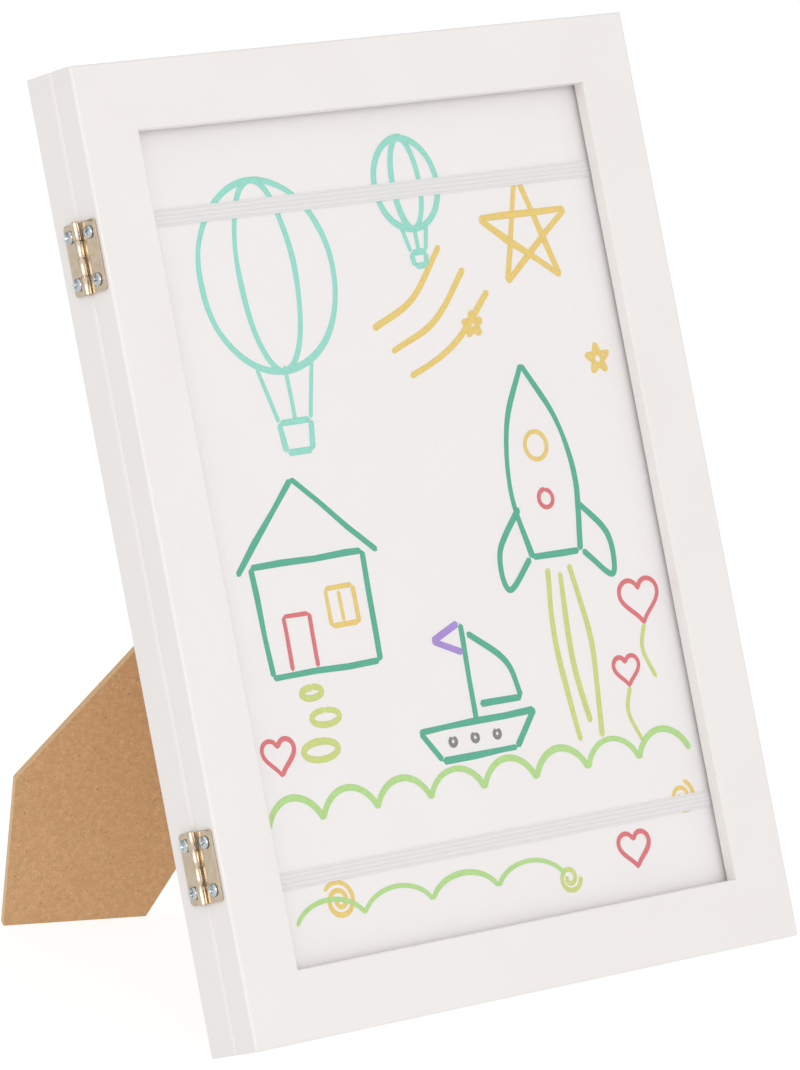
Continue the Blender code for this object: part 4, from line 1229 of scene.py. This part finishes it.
def smooth(points):
    """A curve through points. From P1 to P2 it leaves along (P2 - P0) / 2 and arrives along (P3 - P1) / 2."""
    points = np.array(points, float)
    points = np.vstack([2 * points[:1] - points[1:2], points, 2 * points[-1:] - points[-2:-1]])
    p0, p1, p2, p3 = points[:-3], points[1:-2], points[2:-1], points[3:]
    t = np.linspace(0, 1, CURVE_STEPS, endpoint=False)[:, None, None]
    square, cube = 2 * p0 - 5 * p1 + 4 * p2 - p3, 3 * p1 - p0 - 3 * p2 + p3
    curve = (2 * p1 + (p2 - p0) * t + square * t**2 + cube * t**3) / 2
    return np.vstack([np.swapaxes(curve, 0, 1).reshape(-1, 2), p2[-1:]])


def oval(across, tall, centre=(0, 0), start=80.0, turn=372.0):
    """Points at the angle a: centre + (across * cos a, tall * sin a)."""
    return np.array(centre) + compass(np.radians(start + np.linspace(0, turn, OVAL_POINTS))) * (across, tall)


def count_strokes():
    return sum(len(ribbons) for ribbons in drawing.values())


def draw(colour, at, *paths, pen=PEN):
    """Ribbons along paths in millimetres, right and up from a place on the sheet, split at each sharp turn.

    The place is across from the middle and up from the bottom.
    """
    for path in paths:
        path = (np.array(at) + path) * MM
        ways = unit(np.diff(path, axis=0))
        sharp = np.flatnonzero(np.sum(ways[1:] * ways[:-1], -1) < math.cos(SHARP_TURN)) + 1
        cuts = [0, *sharp, len(path) - 1]
        for first, last in zip(cuts[:-1], cuts[1:]):
            drawing[colour].append(ribbon(path[first : last + 1], pen))


def ribbon(path, pen):
    """A low section carried along a path on the paper, its width falling at both ends as a circle's does."""
    path, marks = evenly(path, PEN_STEP)
    slow = np.arange(0, marks[-1] + 40 * MM, WOBBLE_STEP)
    shake = [np.interp(marks, slow, stroke_dice.normal(0, 0.5, len(slow))) for way in range(2)]
    path = path + WOBBLE * np.stack(shake, -1)
    rise = count_strokes() % INK_LEVELS + INK_RISE * marks / marks[-1]
    from_end = np.minimum(marks, marks[-1] - marks)
    narrow = np.sqrt(1 - np.clip(1 - from_end / (pen / 2), 0, 1) ** 2)
    swell = 1 + SWELL * np.interp(marks, slow, stroke_dice.normal(0, 1, len(slow)))
    width = pen / 2 * np.maximum(narrow * swell, THINNEST)
    side, height = INK_SECTION.T
    level = np.broadcast_to(height * INK_HEIGHT, (len(width), len(height)))
    sections = np.stack([side * width[:, None], level], -1)
    places = np.stack([path[:, 0], SHEET_FRONT - INK_LIFT - INK_STEP * rise, path[:, 1]], -1)
    return carried(sections, places, -Y), np.tile(side, len(path))


print("stroke helper ready")

# %% Motifs
def balloon(at, size):
    """A hot-air balloon: an egg, two seams inside it, and a basket on three ropes."""
    tall, seam, half, rim = 1.15 * size, 0.42 * size, 0.24 * size, -1.75 * size
    seams = [oval(seam, tall, start=start, turn=184) for start in (90, 270)]
    ropes = [[(way * seam, -1.08 * size), (way * half, rim)] for way in (-1, 0, 1)]
    draw("mint", at, oval(size, tall), *seams)
    draw("mint", at, *ropes, pen=FINE_PEN)
    low = rim - half * 1.5
    draw("mint", at, [(-half, rim), (half, rim), (half * 0.8, low), (-half * 0.8, low), (-half, rim)])


def star(at, size, pen=PEN):
    """Five points drawn without lifting the pen: each is two fifths of a turn after the last."""
    draw("gold", at, size * compass(np.radians(90 + 144 * np.arange(6))), pen=pen)


def heart(at, size):
    """Across 16 sin³ a and up 13 cos a - 5 cos 2a - 2 cos 3a - cos 4a, brought to size."""
    a = np.radians(np.linspace(180, 545, 50))
    up = 13 * np.cos(a) - 5 * np.cos(2 * a) - 2 * np.cos(3 * a) - np.cos(4 * a)
    draw("coral", at, size / 16 * np.stack([16 * np.sin(a) ** 3, up], -1), pen=FINE_PEN)


def swirl(at, size, turns, colour):
    """A spiral whose radius grows evenly with its angle."""
    share = np.linspace(0.15, 1, 70)
    draw(colour, at, size * share[:, None] * compass(2 * math.pi * turns * share), pen=FINE_PEN)


balloon((-52, 258), 29)
balloon((16, 284), 14)
star((66, 262), 21)
star((88, 214), 6, FINE_PEN)
star((34, 232), 5, FINE_PEN)
for lift in (0, 9, 18):
    draw("gold", (0, lift), smooth([(44 - lift, 243), (24 - lift * 0.8, 226), (2 - lift * 0.7, 217)]))
print("balloons and stars:", count_strokes(), "strokes")

# %% Rocket, house, boat and waves
def rocket(at):
    """A pointed body with two fins, a trail and two portholes."""
    side = smooth([(-11, -30), (-15, -6), (-11, 18), (0, 38)])
    draw("green", at, side, side[::-1] * (-1, 1), [(-11, -30), (11, -30)])
    for way in (-1, 1):
        draw("green", at, smooth([(13, -12), (25, -26), (24, -40), (12, -30)]) * (way, 1))
        draw("lime", at, smooth([(5, -34), (8, -62), (5, -96)]) * (way, 1))
    draw("lime", at, smooth([(0, -36), (-2, -66), (1, -90)]))
    draw("gold", at, oval(5, 5, (0, 9)), pen=FINE_PEN)
    draw("coral", at, oval(3.2, 3.2, (0, -10)), pen=FINE_PEN)


def house(at):
    """Walls and a roof, a door, a window and stepping stones."""
    draw("green", at, [(-24, 0), (-25, 38), (24, 38), (23, 0), (-24, 0)], [(-31, 36), (-1, 66), (31, 37)])
    draw("coral", at, [(-15, 1), (-15, 20), (-4, 20), (-4, 1)], pen=FINE_PEN)
    draw("gold", at, [(5, 14), (5, 27), (17, 27), (17, 14), (5, 14)], [(11, 15), (11, 26)], pen=FINE_PEN)
    for across, up, wide in ((-9, -7, 4.5), (-5, -16, 6), (-10, -27, 7.5)):
        draw("lime", at, oval(wide, wide * 0.42, (across, up)))


def boat(at):
    """A hull, a mast and a sail, a pennant and grey portholes."""
    draw("green", at, [(-26, 11), (-18, 0), (16, 0), (27, 12), (-26, 11)], [(0, 12), (1, 46)])
    draw("green", at, smooth([(3, 42), (18, 30), (22, 17)]), [(22, 17), (3, 17)])
    draw("purple", at, [(0, 46), (-13, 41), (0, 36)])
    draw("grey", at, *(oval(1.4, 1.4, (way, 6)) for way in (-12, -2, 8)), pen=FINE_PEN)


def waves(end, pitch, height):
    """A rolling line: across pitch * (a - 0.9 sin a) / 2 pi and up height * (1 - cos a) / 2."""
    count = end / pitch
    a = np.linspace(0, 2 * math.pi * count, int(40 * count))
    return np.stack([pitch * (a - 0.9 * np.sin(a)) / (2 * math.pi), height * (1 - np.cos(a)) / 2], -1)


rocket((52, 178))
house((-58, 122))
draw("leaf", (-96, 72), waves(192, 24, 9))
draw("leaf", (-92, 38), waves(122, 30, 7), pen=FINE_PEN)
boat((2, 84))
for place, size in (((-86, 96), 7), ((86, 128), 9), ((74, 104), 6), ((62, 42), 7)):
    heart(place, size)
for place in ((86, 119), (74, 98)):
    draw("lime", place, smooth([(0, 0), (-3, -9), (1, -20)]), pen=FINE_PEN)
swirl((-72, 44), 7, 2.4, "gold")
swirl((88, 56), 6, 2.2, "gold")
swirl((30, 36), 5, 2.0, "lime")
print("strokes:", count_strokes())

# %% Ink pieces
for colour, ribbons in drawing.items():
    shells, across = zip(*ribbons)
    values = {"across": np.concatenate(across)}
    piece(f"{colour}_lines", joined(shells), FELT_TIPS[colour], "box", values=values)
print("ink pieces", len(drawing))

# %% [markdown]
# ## Studio
# The photograph is a product shot: white all round, soft light that is brightest in front and to the left,
# and next to no shadow. The world gives that light. One large soft lamp stands near the camera, and a
# second one shines only in reflections, where it gives the metal its glints.
#
# Light Path keeps three worlds apart. The camera sees pure white, metal mirrors a room that is darker away
# from the lamps, and the light that falls on the frame has its own level. The table glows a little, so that
# the shadow on it stays pale, and the camera sees it glow more than the frame does.

# %% World, lamps and floor
LIT_WAY = (-0.28, -0.87, 0.43)
ROOM_WAY = (-0.5, -0.6, 0.62)
FRONT_LIGHT = 0.9
BACK_LIGHT = 0.55
ROOM_DARK = 0.4
ROOM_SLOPE = (-0.1, 0.6)
LIGHT_SLOPE = (-0.6, 0.8)
LAMPS = (
    ("lamp", (-1.5, -1.9, 0.9), 1.2, 6.0, True),
    ("glint", (-1.9, -1.3, 0.7), 1.0, 7.0, False),
)
FLOOR_HALF = 8.0
FLOOR_GLOW = 0.86
FLOOR_BOUNCE = 0.65


def seen_by_camera(recipe):
    """1 for a ray from the camera or one that has gone through something clear."""
    return recipe.ray("Is Camera Ray") + recipe.ray("Is Transmission Ray")


world = bpy.data.worlds.new("studio")
bpy.context.scene.world = world
air = Recipe(world)
air.tree.nodes.clear()
way = air.add("ShaderNodeTexCoord", {}, {}, "Generated")
towards, before = (
    air.add("ShaderNodeVectorMath", {"operation": "DOT_PRODUCT"}, {0: way, 1: bright}, "Value")
    for bright in (ROOM_WAY, LIT_WAY)
)
room = ROOM_DARK + (1 - ROOM_DARK) * towards.eased(*ROOM_SLOPE)
falling = BACK_LIGHT + (FRONT_LIGHT - BACK_LIGHT) * before.eased(*LIGHT_SLOPE)
strength = falling + (1 - falling) * seen_by_camera(air) + (room - falling) * air.ray("Is Glossy Ray")
glow = air.add("ShaderNodeBackground", {}, {"Color": (1, 1, 1, 1), "Strength": strength})
air.give(air.tree.nodes.new("ShaderNodeOutputWorld").inputs["Surface"], glow)

for name, place, size, power, lights in LAMPS:
    lamp = bpy.data.lights.new(name, "AREA")
    lamp.shape = "DISK"
    lamp.size = size
    lamp.energy = power
    thing = placed(name, lamp)
    thing.location = place
    thing.visible_diffuse = lights
    aim = Vector(place) - Vector(bench.world(MIDDLE))
    thing.rotation_euler = aim.to_track_quat("Z", "Y").to_euler()


def lit_table(recipe):
    grain = recipe.noise(3 * MM)
    given, shown = ((level, level, level, 1.0) for level in (FLOOR_BOUNCE, FLOOR_GLOW))
    return {
        "Base Color": recipe.mix(grain, shade(124, 124, 124), shade(122, 122, 122)),
        "Roughness": 0.9,
        "Emission Color": recipe.mix(seen_by_camera(recipe), given, shown),
        "Emission Strength": 1.0,
    }


floor_mesh = bpy.data.meshes.new("floor")
floor_corners = np.array([(-1, -1, 0), (1, -1, 0), (1, 1, 0), (-1, 1, 0)]) * FLOOR_HALF
floor_mesh.from_pydata(floor_corners.tolist(), [], [(0, 1, 2, 3)])
floor_mesh.materials.append(finish("lit_table", lit_table))
placed("floor", floor_mesh)
bpy.context.scene.view_settings.view_transform = "Standard"
print("studio ready")
